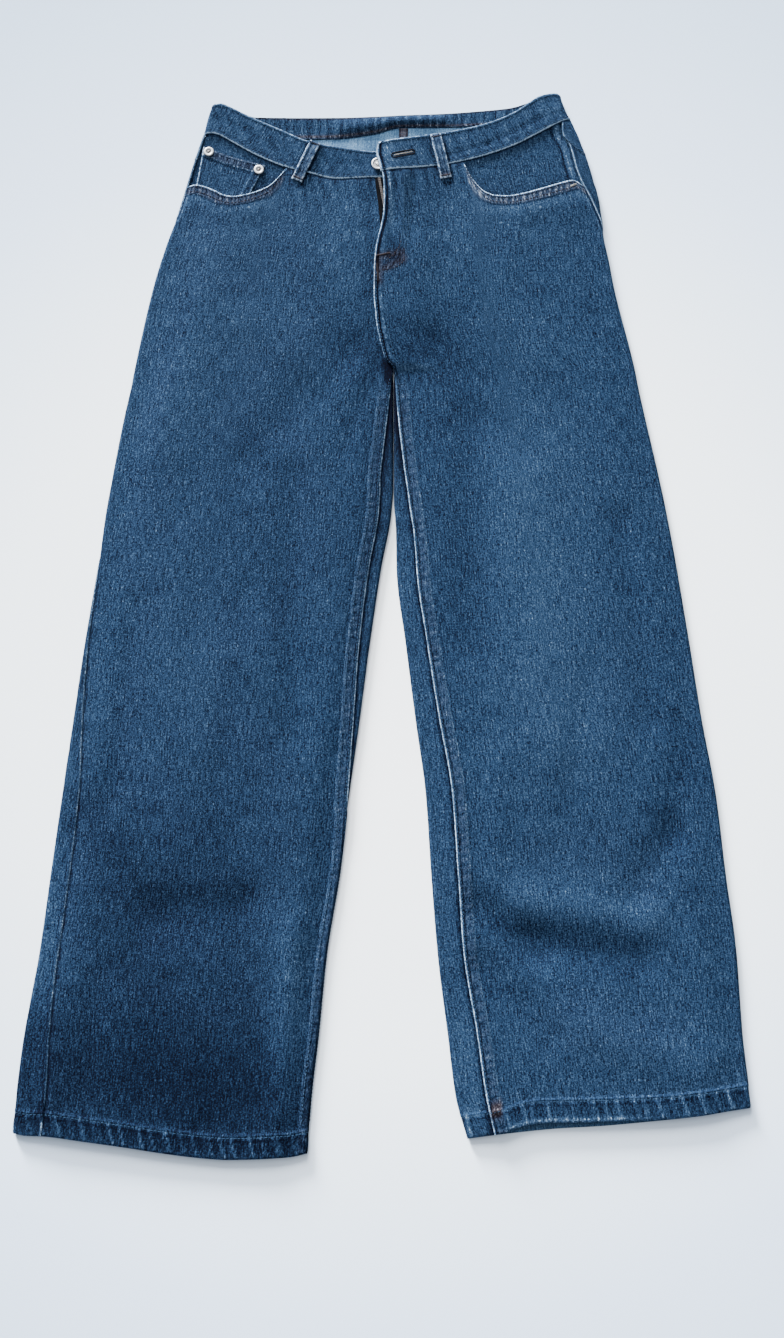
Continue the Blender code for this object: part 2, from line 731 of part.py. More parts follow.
def band_back(share, height, depth):
    """Back of the waistband: share runs from the right side fold to the left one."""
    radius = BAND_HEIGHT / 2
    x = mix(BAND_FOLDS.read("right", height) + radius, BAND_FOLDS.read("left", height) - radius, share)
    y = mix(BACK_BAND.read("lower", x), BACK_BAND.read("upper", x), height)
    arch = BAND_ARCH * math.sin(math.pi * height) * ease((0.082 - abs(x)) / 0.045)
    return (x, y, seat_rise(x, y) + arch + depth)


def denser_ends(count):
    """Shares from 0 to 1 that stand about half as far apart at both ends."""
    even = np.linspace(0, 1, count)
    return 0.45 * even + 0.55 * (1 - np.cos(np.pi * even)) / 2


def band_grid():
    """One strip from the right front's hidden end round the back to the lapping end."""
    faces = []
    turns = np.linspace(math.pi / 2, -math.pi / 2, 5)
    right_shares = denser_ends(15)
    left_shares = denser_ends(17)
    for depth in (0.0, BAND_WALL):
        columns = []
        for height in np.linspace(0.0, 1.0, BAND_ROWS + 1):
            line = [band_front(RIGHT, share, height, depth) for share in right_shares[:-1]]
            line += [band_fold(RIGHT, turn, height, depth) for turn in turns]
            line += [band_back(share, height, depth) for share in np.linspace(0, 1, 31)[1:-1]]
            line += [band_fold(LEFT, turn, height, depth) for turn in turns[::-1]]
            line += [band_front(LEFT, share, height, depth) for share in left_shares[::-1][1:]]
            columns.append(line)
        faces.append(columns)
    return np.array(faces)


def facing_grid(leg):
    """Pocket facing: from the outseam to just past the pocket's corner, under the front."""
    faces = []
    far = FACING_ENDS[leg.side]
    for depth in (0.0, WALL):
        columns = []
        for share in np.linspace(0, 1, 9):
            line = []
            for row in range(5):
                x = far
                for _ in range(6):
                    high = leg.band.read("lower", x) - BAND_SEAM_GAP
                    low = leg.front_top(x) - FACING_REACH
                    y = mix(low, high, row / 4)
                    inset = leg.outline.read("outseam", y) + SEAM_GAP
                    x = mix(leg.outer(y) + leg.inward * inset, far, share)
                line.append((x, y, FACING_HEIGHT - depth))
            columns.append(line)
        faces.append(columns)
    return np.array(faces)


def coin_pocket_grid():
    """Patch on the right facing whose foot lies under the right front."""
    faces = []
    base = FACING_HEIGHT + LAYER_GAP
    for height in (base + PATCH_WALL, base):
        columns = []
        for share in np.linspace(0, 1, 7):
            foot_x = mix(COIN_POCKET_LOWER_LEFT, COIN_POCKET_LOWER_RIGHT, share)
            top = (COIN_POCKET.read("x", share), COIN_POCKET.read("top", share))
            line = [(mix(foot_x, top[0], row), mix(COIN_POCKET_FOOT, top[1], row), height)
                    for row in np.linspace(0, 1, 4)]
            columns.append(line)
        faces.append(columns)
    return np.array(faces)


def tape_grid():
    """Strip on the right front, from the side that shows in the open fly to the hidden one."""
    faces = []
    for rise in (LAYER_GAP + TAPE_WALL, LAYER_GAP):
        columns = []
        for share in (0.0, 0.5, 1.0):
            places = [(mix(TAPE_EDGE.read("x", y), TAPE_HIDDEN_SIDE, share), y) for y in TAPE_LEVELS]
            columns.append([(x, y, top_height(RIGHT, x, y) + rise) for x, y in places])
        faces.append(columns)
    return np.array(faces)


def front_loop_grid(leg, ends):
    """Belt loop over the waistband, bowed up off it between its two tacked ends."""
    (upper_x, upper_y), (lower_x, lower_y) = ends
    length = math.hypot(upper_x - lower_x, upper_y - lower_y)
    side_x = (upper_y - lower_y) / length * LOOP_WIDTH / 2
    side_y = (lower_x - upper_x) / length * LOOP_WIDTH / 2
    faces = []
    for rise in (LAYER_GAP + LOOP_WALL, LAYER_GAP):
        columns = []
        for side in (-1, 0, 1):
            line = []
            for share in np.linspace(0, 1, 9):
                x = mix(lower_x, upper_x, share) + side * side_x
                y = mix(lower_y, upper_y, share) + side * side_y
                under = max(band_top(leg, x, y), top_height(leg, x, y))
                line.append((x, y, under + rise + LOOP_BULGE * math.sin(math.pi * share)))
            columns.append(line)
        faces.append(columns)
    return np.array(faces)


def back_pocket_outline(middle):
    """Five corners: a straight top, sides that close in a little, and a point below."""
    half = BACK_POCKET_WIDTH / 2
    shoulder = half * 0.90
    shoulder_level = BACK_POCKET_LOW + 0.026
    return [(middle - half, BACK_POCKET_HIGH), (middle + half, BACK_POCKET_HIGH),
            (middle + shoulder, shoulder_level), (middle, BACK_POCKET_LOW),
            (middle - shoulder, shoulder_level)]


def rear_loop_outline(middle):
    low = BACK_BAND.read("lower", middle) - REAR_LOOP_FOOT
    high = BACK_BAND.read("upper", middle) - 0.001
    half = LOOP_WIDTH / 2
    return [(middle - half, high), (middle + half, high), (middle + half, low), (middle - half, low)]


def new_material(name, colour, roughness, metallic=0.0):
    material = bpy.data.materials.new(name)
    material.use_nodes = True
    shader = material.node_tree.nodes["Principled BSDF"]
    shader.inputs["Base Color"].default_value = (*colour, 1.0)
    shader.inputs["Roughness"].default_value = roughness
    shader.inputs["Metallic"].default_value = metallic
    material.diffuse_color = (*colour, 1.0)
    return material


def add_object(name, mesh, material):
    mesh.materials.clear()
    mesh.materials.append(material)
    part = bpy.data.objects.new(name, mesh)
    bpy.data.collections[COLLECTION].objects.link(part)
    return part


def add_wall(name, grid, material):
    """Closed wall between an outer and an inner grid of points, rims included."""
    _, across, along = grid.shape[:3]
    points = grid - np.array((CENTRE_X, CENTRE_Y, 0.0))
    mesh = bmesh.new()
    outer, inner = [[[mesh.verts.new(point) for point in line] for line in face] for face in points]
    for i in range(across - 1):
        for j in range(along - 1):
            mesh.faces.new((outer[i][j], outer[i + 1][j], outer[i + 1][j + 1], outer[i][j + 1]))
            mesh.faces.new((inner[i][j], inner[i][j + 1], inner[i + 1][j + 1], inner[i + 1][j]))
    rim = [(i, 0) for i in range(across - 1)] + [(across - 1, j) for j in range(along - 1)]
    rim += [(i, along - 1) for i in range(across - 1, 0, -1)] + [(0, j) for j in range(along - 1, 0, -1)]
    for (i, j), (k, m) in zip(rim, rim[1:] + rim[:1]):
        mesh.faces.new((outer[k][m], outer[i][j], inner[i][j], inner[k][m]))
    bmesh.ops.recalc_face_normals(mesh, faces=mesh.faces)
    data = bpy.data.meshes.new(name)
    mesh.to_mesh(data)
    mesh.free()
    data.shade_smooth()
    data.set_sharp_from_angle(angle=math.radians(40))
    return add_object(name, data, material)


def add_slab(name, outline, wall, material):
    """Flat piece that lies on the ground plane: its outline, thickened upward."""
    mesh = bpy.data.meshes.new(name)
    corners = [(x - CENTRE_X, y - CENTRE_Y, 0.0) for x, y in outline]
    mesh.from_pydata(corners, [], [range(len(corners))])
    part = add_object(name, mesh, material)
    solidify = part.modifiers.new("wall", "SOLIDIFY")
    solidify.thickness = wall
    solidify.offset = -1.0
    return part


def add_turned(name, profile, place, base, material):
    """Round piece turned from a profile of radius and height, on a vertical axis."""
    mesh = bpy.data.meshes.new(name)
    points = [(radius, 0.0, height) for radius, height in profile]
    mesh.from_pydata(points, [(i, i + 1) for i in range(len(points) - 1)], [])
    part = add_object(name, mesh, material)
    part.location = (place[0] - CENTRE_X, place[1] - CENTRE_Y, base)
    screw = part.modifiers.new("turn", "SCREW")
    screw.steps = 16
    screw.render_steps = 16
    screw.use_merge_vertices = True
    screw.merge_threshold = 0.00002
    screw.use_smooth_shade = True
    return part


def button_profile():
    """Domed head with a rim, on a short stem."""
    head = BUTTON_HEIGHT - 0.0012
    return [(0.0, BUTTON_HEIGHT - 0.0004), (BUTTON_RADIUS * 0.72, BUTTON_HEIGHT - 0.0004),
            (BUTTON_RADIUS * 0.82, BUTTON_HEIGHT), (BUTTON_RADIUS * 0.94, BUTTON_HEIGHT - 0.0002),
            (BUTTON_RADIUS, BUTTON_HEIGHT - 0.0008), (BUTTON_RADIUS * 0.94, head - 0.0002),
            (BUTTON_STEM_RADIUS, head - 0.0004), (BUTTON_STEM_RADIUS, 0.0), (0.0, 0.0)]


def rivet_profile():
    """Flat cap with a rounded rim and a small raised nail head."""
    return [(0.0, RIVET_HEIGHT), (RIVET_RADIUS * 0.30, RIVET_HEIGHT - 0.0001),
            (RIVET_RADIUS * 0.38, RIVET_HEIGHT - 0.0005), (RIVET_RADIUS * 0.80, RIVET_HEIGHT - 0.0003),
            (RIVET_RADIUS, RIVET_HEIGHT - 0.0007), (RIVET_RADIUS, 0.0), (0.0, 0.0)]


def clear_scene():
    for item in list(bpy.data.objects):
        bpy.data.objects.remove(item, do_unlink=True)
    collection = bpy.data.collections.new(COLLECTION)
    bpy.context.scene.collection.children.link(collection)


def build():
    clear_scene()
    denim = new_material("denim", (0.060, 0.115, 0.210), 0.9)
    tape = new_material("zip_tape", (0.030, 0.035, 0.050), 0.85)
    silver = new_material("silver_metal", (0.62, 0.61, 0.58), 0.35, metallic=1.0)
    for leg in (RIGHT, LEFT):
        add_wall(f"front_{leg.side}", front_grid(leg), denim)
        add_wall(f"back_{leg.side}", back_grid(leg), denim)
        add_wall(f"yoke_{leg.side}", yoke_grid(leg), denim)
        add_wall(f"pocket_facing_{leg.side}", facing_grid(leg), denim)
    add_wall("waistband", band_grid(), denim)
    add_wall("coin_pocket", coin_pocket_grid(), denim)
    add_wall("zip_tape", tape_grid(), tape)
    add_wall("belt_loop_front_right", front_loop_grid(RIGHT, RIGHT_LOOP), denim)
    add_wall("belt_loop_front_left", front_loop_grid(LEFT, LEFT_LOOP), denim)
    for place, middle in REAR_LOOPS.items():
        add_slab(f"belt_loop_rear_{place}", rear_loop_outline(middle), REAR_LOOP_WALL, denim)
    for leg, middle in zip((RIGHT, LEFT), BACK_POCKET_MIDDLES):
        add_slab(f"back_pocket_{leg.side}", back_pocket_outline(middle), PATCH_WALL, denim)
    add_turned("button", button_profile(), BUTTON_PLACE, BAND_HEIGHT + LAYER_GAP, silver)
    for number, place in enumerate(RIVET_PLACES, start=1):
        add_turned(f"rivet_{number}", rivet_profile(), place, RIVET_BASE, silver)


build()
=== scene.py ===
"""Looks of the wide leg jeans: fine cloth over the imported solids, hardware, sewing,
floor, light and camera.

Lengths are metres, and millimetres in the tables and in the rows of soft hills.
Places are counted from the crotch, as in the CAD source, and moved so that the middle
of the footprint is the origin. Tone lightens the cloth or darkens it, and tint browns it.
"""

import math

import bpy
import numpy as np
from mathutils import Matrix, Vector
from mathutils.bvhtree import BVHTree


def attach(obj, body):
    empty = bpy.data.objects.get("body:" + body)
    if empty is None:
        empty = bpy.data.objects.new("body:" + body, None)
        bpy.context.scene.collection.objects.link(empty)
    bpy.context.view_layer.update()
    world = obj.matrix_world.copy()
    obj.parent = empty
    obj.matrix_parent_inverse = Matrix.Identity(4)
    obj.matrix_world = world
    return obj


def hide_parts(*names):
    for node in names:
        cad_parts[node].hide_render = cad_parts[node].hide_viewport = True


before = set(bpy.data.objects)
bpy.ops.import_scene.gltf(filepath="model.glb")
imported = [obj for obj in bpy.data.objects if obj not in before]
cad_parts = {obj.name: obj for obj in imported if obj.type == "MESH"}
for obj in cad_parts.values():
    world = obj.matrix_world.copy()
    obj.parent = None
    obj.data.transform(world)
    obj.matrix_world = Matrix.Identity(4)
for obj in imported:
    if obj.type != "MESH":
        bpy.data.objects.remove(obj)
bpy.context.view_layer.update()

MM = 0.001

# The CAD's named sizes
WALL = 0.0012
BAND_WALL = 2 * WALL
SEAM_GAP = 0.0003
BAND_SEAM_GAP = 0.0006
LAYER_GAP = 0.0004
HEM_DEPTH = 0.022
HEM_STEP = 0.0022
HEM_RISE = 0.0009
LAP_RISE = 0.0028
BUTTON_RISE = 0.0034
POCKET_BULK = 0.0012
DEEPEST_TROUGH = -0.0012
OUTER_RIM = 0.045
INNER_RIM = 0.040
BACK_RISE = 0.0015
BACK_RISE_MARGIN = 0.038
CROTCH_OPENING = 0.038
BUTTON_PLACE = (-0.0154, 0.2446)
RIVET_BASE = 0.0064
LOOP_WIDTH = 0.0125
LOOP_WALL = 0.0016
LOOP_BULGE = 0.0014
REAR_LOOP_WALL = 0.0011
REAR_LOOP_FOOT = 0.0090
TAPE_WALL = 0.0008
PATCH_WALL = 0.0011
FACING_HEIGHT = 0.0040
FACING_REACH = 0.0140
COIN_POCKET_FEET = (-0.2174, -0.1600)
COIN_POCKET_FOOT = 0.2000
RIVET_PLACES = ((-0.2014, 0.2603), (-0.1460, 0.2384))
TAPE_HIDDEN_SIDE = 0.0030
TAPE_ENDS = (0.1200, 0.2278)
REAR_LOOPS = {"right": -0.085, "middle": 0.010, "left": 0.085}
BACK_POCKETS = {"right": -0.112, "left": 0.118}
BACK_POCKET_WIDTH = 0.138
BACK_POCKET_LOW = 0.052
BACK_POCKET_HIGH = 0.186
BACK_POCKET_POINT = 0.026     # height of the pointed lower edge
BACK_POCKET_TAPER = 0.90
BAND_HEIGHT = 0.0066
BAND_ARCH = 0.0036
RIGHT_BAND_END = 0.018

# Sewing
THREAD = 0.00036              # radius of the topstitching thread
STITCH = 0.0029
STITCH_GAP = 0.0008
TWIN_ROWS = (0.0022, 0.0085)  # from the edge
HEM_ROW = 0.0200
FELLED_BAND = 0.0130          # width of the felled inseam
POCKET_BAND = 0.0110          # width of the turned edge of a pocket opening

FOLD_TONE = 14.0              # how much the ridges are paler than the troughs, for a metre
BAND_FOLD_TONE = 90.0


class Table:
    """Rows with named columns, in millimetres but for shares, read smoothly along the first."""

    def __init__(self, names, *rows):
        self.names = names.split()
        self.rows = np.array(rows) * [1.0 if name == "share" else MM for name in self.names]

    def read(self, name, key):
        keys = self.rows[:, 0]
        values = self.rows[:, self.names.index(name)]
        steps = np.diff(keys)
        slopes = np.diff(values) / steps
        before, after = slopes[:-1], slopes[1:]
        bends = np.where(before * after > 0,
                         2 * before * after / np.where(before + after == 0, 1, before + after), 0)
        tangents = np.concatenate((slopes[:1], bends, slopes[-1:]))
        key = np.asarray(key, dtype=float)
        row = np.clip(np.searchsorted(keys, key) - 1, 0, len(steps) - 1)
        share = np.clip((key - keys[row]) / steps[row], 0.0, 1.0)
        start, stop = tangents[row] * steps[row], tangents[row + 1] * steps[row]
        rise = values[row + 1] - values[row]
        bend = 3 * rise - 2 * start - stop
        twist = start + stop - 2 * rise
        return values[row] + share * (start + share * (bend + share * twist))


def lines(unit, *rows):
    """Soft hills along plan lines: x and y of both ends, width, and the height in a unit."""
    return np.array(rows) * (MM, MM, MM, MM, MM, unit)


RIGHT_OUTLINE = Table(
    "level outer inner outseam inseam",
    (-820, -369, -83, 27, -2.5), (-760, -366.5, -79, 30, -2.5), (-700, -361.5, -72.5, 26, -2.5),
    (-620, -350, -65, 20, -2.5), (-540, -342, -52.5, 20, -2.5), (-460, -334, -43, 18, 1),
    (-380, -325.5, -32.5, 10, 6), (-300, -317, -22.5, 4.5, 10.5), (-220, -306.5, -11, 0.5, 12.5),
    (-160, -300.5, -0.5, -2.2, 13), (-127, -296, 1.6, -2.5, 13.5), (-87, -290.3, 1.6, -2.5, 10),
    (-47, -284, 1.6, -2.5, 5.5), (-14, -278, 1.6, -2.5, 2), (0, -276, 1.6, -2.5, 0),
    (100, -258, 1.6, -2.5, 0), (150, -245, 1.6, -2, 0), (190, -232.5, 1.6, 1, 0),
    (226.5, -223.3, 1.6, 2.2, 0), (254.4, -216, 1.6, 2.6, 0), (283, -207.7, 1.6, 2.6, 0),
)

LEFT_OUTLINE = Table(
    "level outer inner outseam inseam",
    (-800, 350, 72.8, -2.5, 27), (-760, 349, 61.8, -2.5, 29.5), (-700, 344.5, 54.5, -2.5, 28.5),
    (-620, 342, 45, -2.5, 25.5), (-540, 334.5, 39, -2.5, 26.5), (-460, 328, 34, -2.5, 26.5),
    (-380, 316.5, 23.5, -2.5, 24), (-300, 307, 13.5, -2.5, 22), (-220, 297, 4.5, -2.5, 20.5),
    (-180, 291.5, 4, -2.5, 18), (-147, 286.5, 1.8, -2.5, 15.5), (-107, 279.5, 1.6, -2.5, 10.5),
    (-47, 268.3, 1.6, -2.5, 4), (-14, 262.5, 1.6, -2.5, 1.5), (0, 260.5, 1.6, -2.5, 0),
    (100, 240, 1.6, -2.5, 0), (130, 235.5, 1.6, -2.2, 0), (160, 230.5, 1.6, -0.8, 0),
    (175, 229.5, 1.6, 1.5, 0), (190, 228, 1.6, 5.7, 0), (205, 226.2, 1.6, 10.1, 0),
    (226, 221.2, 1.6, 14.7, 0), (241, 217.6, 1.6, 16, 0), (255, 213.9, 1.6, 15, 0),
    (268, 209.7, 1.6, 14.2, 0), (281, 205.4, 1.6, 16.8, 0), (304, 196.2, 1.6, 8, 0),
)

THICKNESS = Table(
    "level tube crown",
    (-820, 5.2, 2.6), (-600, 5, 3.2), (-300, 5, 3.8), (0, 5.2, 2.6), (150, 6, 1.4), (235, 6, 0.6),
    (300, 6, 0.6),
)

RIGHT_HEM = Table(
    "x level",
    (-369, -794), (-356, -796.6), (-340, -797.2), (-300, -802.3), (-260, -807.7), (-220, -813.7),
    (-180, -818.3), (-160, -819.5), (-139, -819.2), (-99, -816.9), (-83, -813.5),
)

LEFT_HEM = Table(
    "x level",
    (72, -799.5), (115, -794.1), (158, -789.8), (202, -787.3), (243, -783.8), (303, -777.6),
    (328, -773.3), (350, -770),
)

LEFT_FRONT_HEM = Table(
    "x level",
    (72, -799.5), (100, -795.8), (112, -793), (124, -788.6), (134, -786.3), (144, -785), (182, -784.2),
    (221, -783.2), (243, -782.5), (263, -781.6), (303, -777.6), (328, -773.3), (350, -770),
)

RIGHT_OPENING = Table(
    "x level",
    (-224, 218), (-215, 219.9), (-205, 217.7), (-194, 212.9), (-183, 207.3), (-174, 205.7),
    (-161, 207.8), (-144, 213.5), (-134, 219.4), (-123, 231.5), (-115, 242), (-110, 249),
)

LEFT_OPENING = Table(
    "x level",
    (74.5, 257), (78.5, 247.8), (85.5, 232), (93, 220.6), (101.7, 212.1), (112.6, 207.8), (126, 207.2),
    (140, 209), (162, 215.1), (184, 222.1), (198, 225.4), (206, 221.1), (212, 216),
)

FLY_EDGE = Table(
    "level x",
    (0, 1.75), (4.5, 1.75), (8, -27), (12.4, -30), (18, -20.3), (24, -15.6), (30.2, -13.8),
    (35.8, -13.6), (47.4, -15.9), (70.6, -18.4), (94.2, -20), (117.8, -19.6), (134.3, -18.8),
    (153.3, -16), (172.4, -11.6), (188, -9.4), (207, -9), (225.3, -9.9), (240, -13),
)

RIGHT_BAND = Table(
    "x lower upper",
    (-208, 282, 315.5), (-199, 283, 318.3), (-190, 280.7, 319.7), (-180, 274.7, 315.9),
    (-165, 265.5, 307.8), (-150, 256.7, 300.4), (-120, 243, 286.3), (-93, 235.2, 273.8),
    (-60, 227.6, 266.7), (-20, 229.6, 260.9), (18, 230, 260),
)

LEFT_BAND = Table(
    "x lower upper",
    (-16, 232.8, 268.5), (0, 236.2, 272.4), (45, 242.5, 281.7), (80, 249.8, 288.9), (105, 257, 295.7),
    (135, 268.6, 309.2), (155, 279.5, 323.5), (165, 285.2, 329.6), (180, 293.8, 332.3),
    (190, 298.8, 328.5), (198, 300.8, 319),
)

BACK_BAND = Table(
    "x lower upper",
    (-208, 282, 315.5), (-199, 283, 318.3), (-190, 282.5, 319), (-165, 281.5, 309.5),
    (-150, 280.5, 303.7), (-100, 277.3, 302.9), (-60, 277.9, 303.1), (-20, 283.5, 304.5),
    (10, 291.5, 306.2), (60, 292, 308.3), (100, 294, 311.5), (130, 295.5, 315), (155, 297.5, 323.5),
    (165, 298, 329.6), (180, 299.5, 332.3), (190, 300.5, 328.5), (198, 300.8, 319),
)

BAND_FOLDS = Table(
    "share right left",
    (0, -207.5, 197.5), (0.5, -204.2, 191.5), (1, -199, 186.5),
)

CENTRE_BACK = Table(
    "level x",
    (0, 1.6), (150, 7), (300, 12),
)

RIGHT_YOKE = Table(
    "inset level",
    (-215, 222), (-100, 233), (0, 250), (12, 262),
)

LEFT_YOKE = Table(
    "inset level",
    (-200, 222), (-100, 236), (0, 256), (20, 282),
)

# Folds that the panels themselves follow, each along a line
FOLDS = lines(MM,
    (-105, -120, -102, -400, 18, -1.8), (-312, -480, -235, -585, 22, -2.6),
    (-235, -585, -150, -570, 26, -2), (-150, -575, -120, -760, 20, -1.8),
    (-345, -520, -345, -760, 18, 2.6), (-95, -600, -105, -770, 18, 2.2),
    (-250, -640, -180, -780, 40, -2), (-180, -330, -230, -520, 40, 2.2),
    (-240, -80, -190, 140, 36, 1.8), (-60, 20, -150, -100, 26, -1.8), (240, -170, 268, -380, 18, -2),
    (302, -390, 285, -500, 20, -2.6), (285, -500, 238, -570, 20, -2), (88, -575, 140, -612, 20, -2.8),
    (140, -612, 245, -628, 20, -2.6), (130, -570, 250, -585, 22, 2.2), (90, -635, 155, -700, 18, -2.2),
    (135, -120, 165, -400, 50, 2.4), (85, -60, 85, -300, 24, -1.8), (40, 30, 130, -90, 24, -1.8),
    (70, 150, 150, 20, 26, 1.4), (170, -690, 300, -730, 26, 1.8), (-45, 100, -30, 170, 20, 1),
    (-150, 60, -60, -10, 26, 1.4),
)

COIN_POCKET = Table(
    "share x top",
    (0, -207.5, 266.8), (0.5, -174.5, 253.8), (1, -139.5, 244),
)

TAPE_EDGE = Table(
    "level x",
    (120, -12), (166, -12.5), (177.4, -13.3), (191.8, -14.6), (206.2, -16.4), (220.7, -18.1),
    (228, -18.6),
)

LEFT_BAND_END = Table(
    "share x",
    (0, -12.4), (0.3, -14.6), (0.65, -17.2), (0.85, -16.8), (1, -14.2),
)

# Creases in relief on the legs, each along a line
CREASES = lines(MM,
    (-20, 225, -26, 165, 6, -0.5), (4, 230, 2, 160, 4.5, -0.6), (13, 232, 13, 172, 5, 0.6),
    (24, 225, 21, 150, 6, -0.6), (-12, 200, -6, 140, 4, 0.5), (-20, 50, -75, -30, 12, -1),
    (-12, 22, -50, -90, 10, -0.9), (15, 12, 48, -75, 12, -1.1), (30, 45, 100, -10, 14, -1),
    (30, 150, 65, 85, 12, 0.8), (-45, 190, -65, 120, 12, 0.7), (-150, -240, -175, -450, 14, -0.8),
    (-215, -180, -238, -430, 15, 0.8), (-268, -260, -285, -470, 13, -0.9),
    (-60, -420, -70, -620, 12, -0.8), (200, -330, 170, -520, 15, -0.9), (110, -420, 98, -560, 13, 0.9),
    (240, -660, 262, -755, 13, -0.8), (300, -600, 322, -720, 12, 0.9),
    (-290, -640, -300, -760, 12, -0.9), (-205, -660, -190, -770, 12, 0.9),
    (-215, 120, -235, 10, 11, -0.7), (200, 150, 222, 60, 11, -0.7), (150, 190, 120, 120, 12, 0.6),
)

# Creases of the waistband's front
BAND_CREASES = lines(MM,
    (-196, 303, -161, 287.5, 2.2, -0.7), (-161, 287.5, -128, 262, 2.8, -0.6),
    (-112, 275.5, -104, 257.5, 3, 0.5), (-70, 248.5, -25, 245, 2.2, -0.5),
    (60.5, 255.6, 106.3, 269.7, 2.4, -0.7), (106.3, 269.7, 167.7, 303.1, 2.6, -0.8),
    (162, 309, 186, 314.5, 2.6, 0.6), (-8, 251.5, 10, 263.5, 3, 0.5),
)

# Lighter (above zero) and darker parts of the cloth, each along a line: some are fading of the dye, and some
# are painted shade, such as the dark spot at the crotch and the darker lower part of the right leg
FADES_AND_PAINTED_SHADE = lines(1.0,
    # Darker lower right leg: partly fading of the dye, partly painted shade
    (-230, -560, -200, -720, 110, -0.09), (-300, -740, -100, -780, 60, -0.075),
    (-345, -420, -348, -620, 20, 0.03), (-100, -600, -102, -770, 16, 0.03),
    (150, -80, 175, -400, 60, 0.035), (-200, -50, -220, -300, 60, 0.02), (-30, 30, 40, 20, 45, -0.045),
    (-10, 0, -30, -200, 45, -0.035), (60, -50, 75, -270, 30, -0.03), (88, -575, 245, -628, 22, -0.03),
    (130, -560, 260, -580, 24, 0.03), (-160, 180, -60, 170, 30, 0.02), (80, 190, 180, 180, 30, 0.02),
    # The last row of the next line is painted shade: the dark spot at the crotch
    (-180, -150, -200, -450, 110, -0.03), (-6, 10, -2, -10, 4.8, -0.42),
    (-330, -740, -110, -790, 60, -0.06), (-345, -690, -100, -735, 50, -0.03),
    (1, 133, 11, 126, 6, -0.1), (-12, 130, -14, 103, 4, -0.1), (-2, 223, 0, 170, 1.6, 0.1),
    (5, 225, 4, 165, 1.8, -0.08), (-27, 223, -22, 165, 4, -0.07), (-21.5, 150, -24, 90, 8, -0.06),
    (1.2, 205, 1, 160, 3.5, 0.08), (0, 152, 4, 134, 8, -0.12), (-352, -700, -360, -775, 26, -0.1),
    (70, -700, 79, -790, 11, 0.06),
)

# Lines of the front belt loops, from their upper to their lower end, and of the fly's tacks
LOOP_LINES = {"right": ((-0.0842, 0.2716), (-0.1045, 0.2247)), "left": ((0.0479, 0.2804), (0.0593, 0.2278))}
TACK_LINES = (
    ((-0.0150, 0.1320), (0.0100, 0.1370)),
    ((-0.0145, 0.1300), (-0.0145, 0.1030)),
    ((-0.0100, 0.1180), (0.0125, 0.1300)),
)


class Leg:
    """One leg with its half of the seat."""

    def __init__(self, side, outline, hem, front_hem, opening, band, yoke):
        self.side, self.inward = side, 1 if side == "right" else -1
        self.outline, self.hem, self.front_hem = outline, hem, front_hem
        self.opening, self.band, self.yoke = opening, band, yoke

    def outer(self, level):
        return self.outline.read("outer", level)

    def inner(self, level):
        return self.outline.read("inner", level) - self.inward * SEAM_GAP / 2

    def front_edge(self, level):
        return self.inner(level) if self.side == "right" else FLY_EDGE.read("x", level)

    def front_top(self, x):
        return np.minimum(self.opening.read("level", x), self.band.read("lower", x) - BAND_SEAM_GAP)

    def back_edge(self, level):
        return CENTRE_BACK.read("x", level) - self.inward * SEAM_GAP / 2


RIGHT = Leg("right", RIGHT_OUTLINE, RIGHT_HEM, RIGHT_HEM, RIGHT_OPENING, RIGHT_BAND, RIGHT_YOKE)
LEFT = Leg("left", LEFT_OUTLINE, LEFT_HEM, LEFT_FRONT_HEM, LEFT_OPENING, LEFT_BAND, LEFT_YOKE)


def ease(share):
    """Smooth step from 0 to 1."""
    share = np.clip(share, 0.0, 1.0)
    return share * share * (3 - 2 * share)


def mix(start, stop, share):
    return start + (stop - start) * share


def nearest(values, value):
    return int(np.argmin(np.abs(values - value)))


def grid(x, y, z):
    return np.stack(np.broadcast_arrays(x, y, z), axis=-1)


def hill(distance, width):
    """Soft hill of height 1 over a distance of zero."""
    return np.exp(-(distance / width) ** 2)


def hills(distance, *rows):
    """Sum of soft hills: the height of each, and its place and width in millimetres."""
    return sum(height * hill(distance - place * MM, width * MM) for height, place, width in rows)


def wavy(along, period, seed):
    """Uneven wave between -1 and 1."""
    turn = 2 * np.pi * along / period
    return np.sin(turn + seed + 0.9 * np.sin(0.37 * turn + 2 * seed) + 0.6 * np.sin(0.113 * turn + 3 * seed))


def beads(along, period, seed, depth):
    """Uneven strength up to 1, for what is rubbed only here and there."""
    return 1 - depth + depth * wavy(along, period, seed)


def line_distance(x, y, x0, y0, x1, y1):
    """Distance from a place to a straight line between two ends."""
    along_x, along_y = x1 - x0, y1 - y0
    share = ((x - x0) * along_x + (y - y0) * along_y) / (along_x ** 2 + along_y ** 2)
    share = np.clip(share, 0.0, 1.0)
    return np.hypot(x - x0 - share * along_x, y - y0 - share * along_y)


def nearest_line(x, y, ends):
    return np.min([line_distance(x, y, *start, *stop) for start, stop in ends], axis=0)


def line_sum(table, x, y):
    """Sum of the soft hills along every line of a table."""
    total = np.zeros(np.broadcast(x, y).shape)
    for *ends, width, rise in table:
        total += rise * hill(line_distance(x, y, *ends), width)
    return total


def fold_radius(level):
    return THICKNESS.read("tube", level) / 2


def quarter_path(level):
    return fold_radius(level) * math.pi / 2


def over_path(leg, level):
    width = np.abs(leg.inner(level) - leg.outer(level))
    return width - 2 * fold_radius(level) + 2 * quarter_path(level)


def seam_path(leg, level, seam):
    """Way along the outer face from a fold's tip to a seam, from its inset."""
    inset = leg.outline.read(seam, level)
    radius = fold_radius(level)
    on_fold = radius * np.arccos(np.clip(1 - inset / radius, -1, 1))
    return np.where(inset >= radius, quarter_path(level) + inset - radius, np.where(inset >= 0, on_fold, inset))


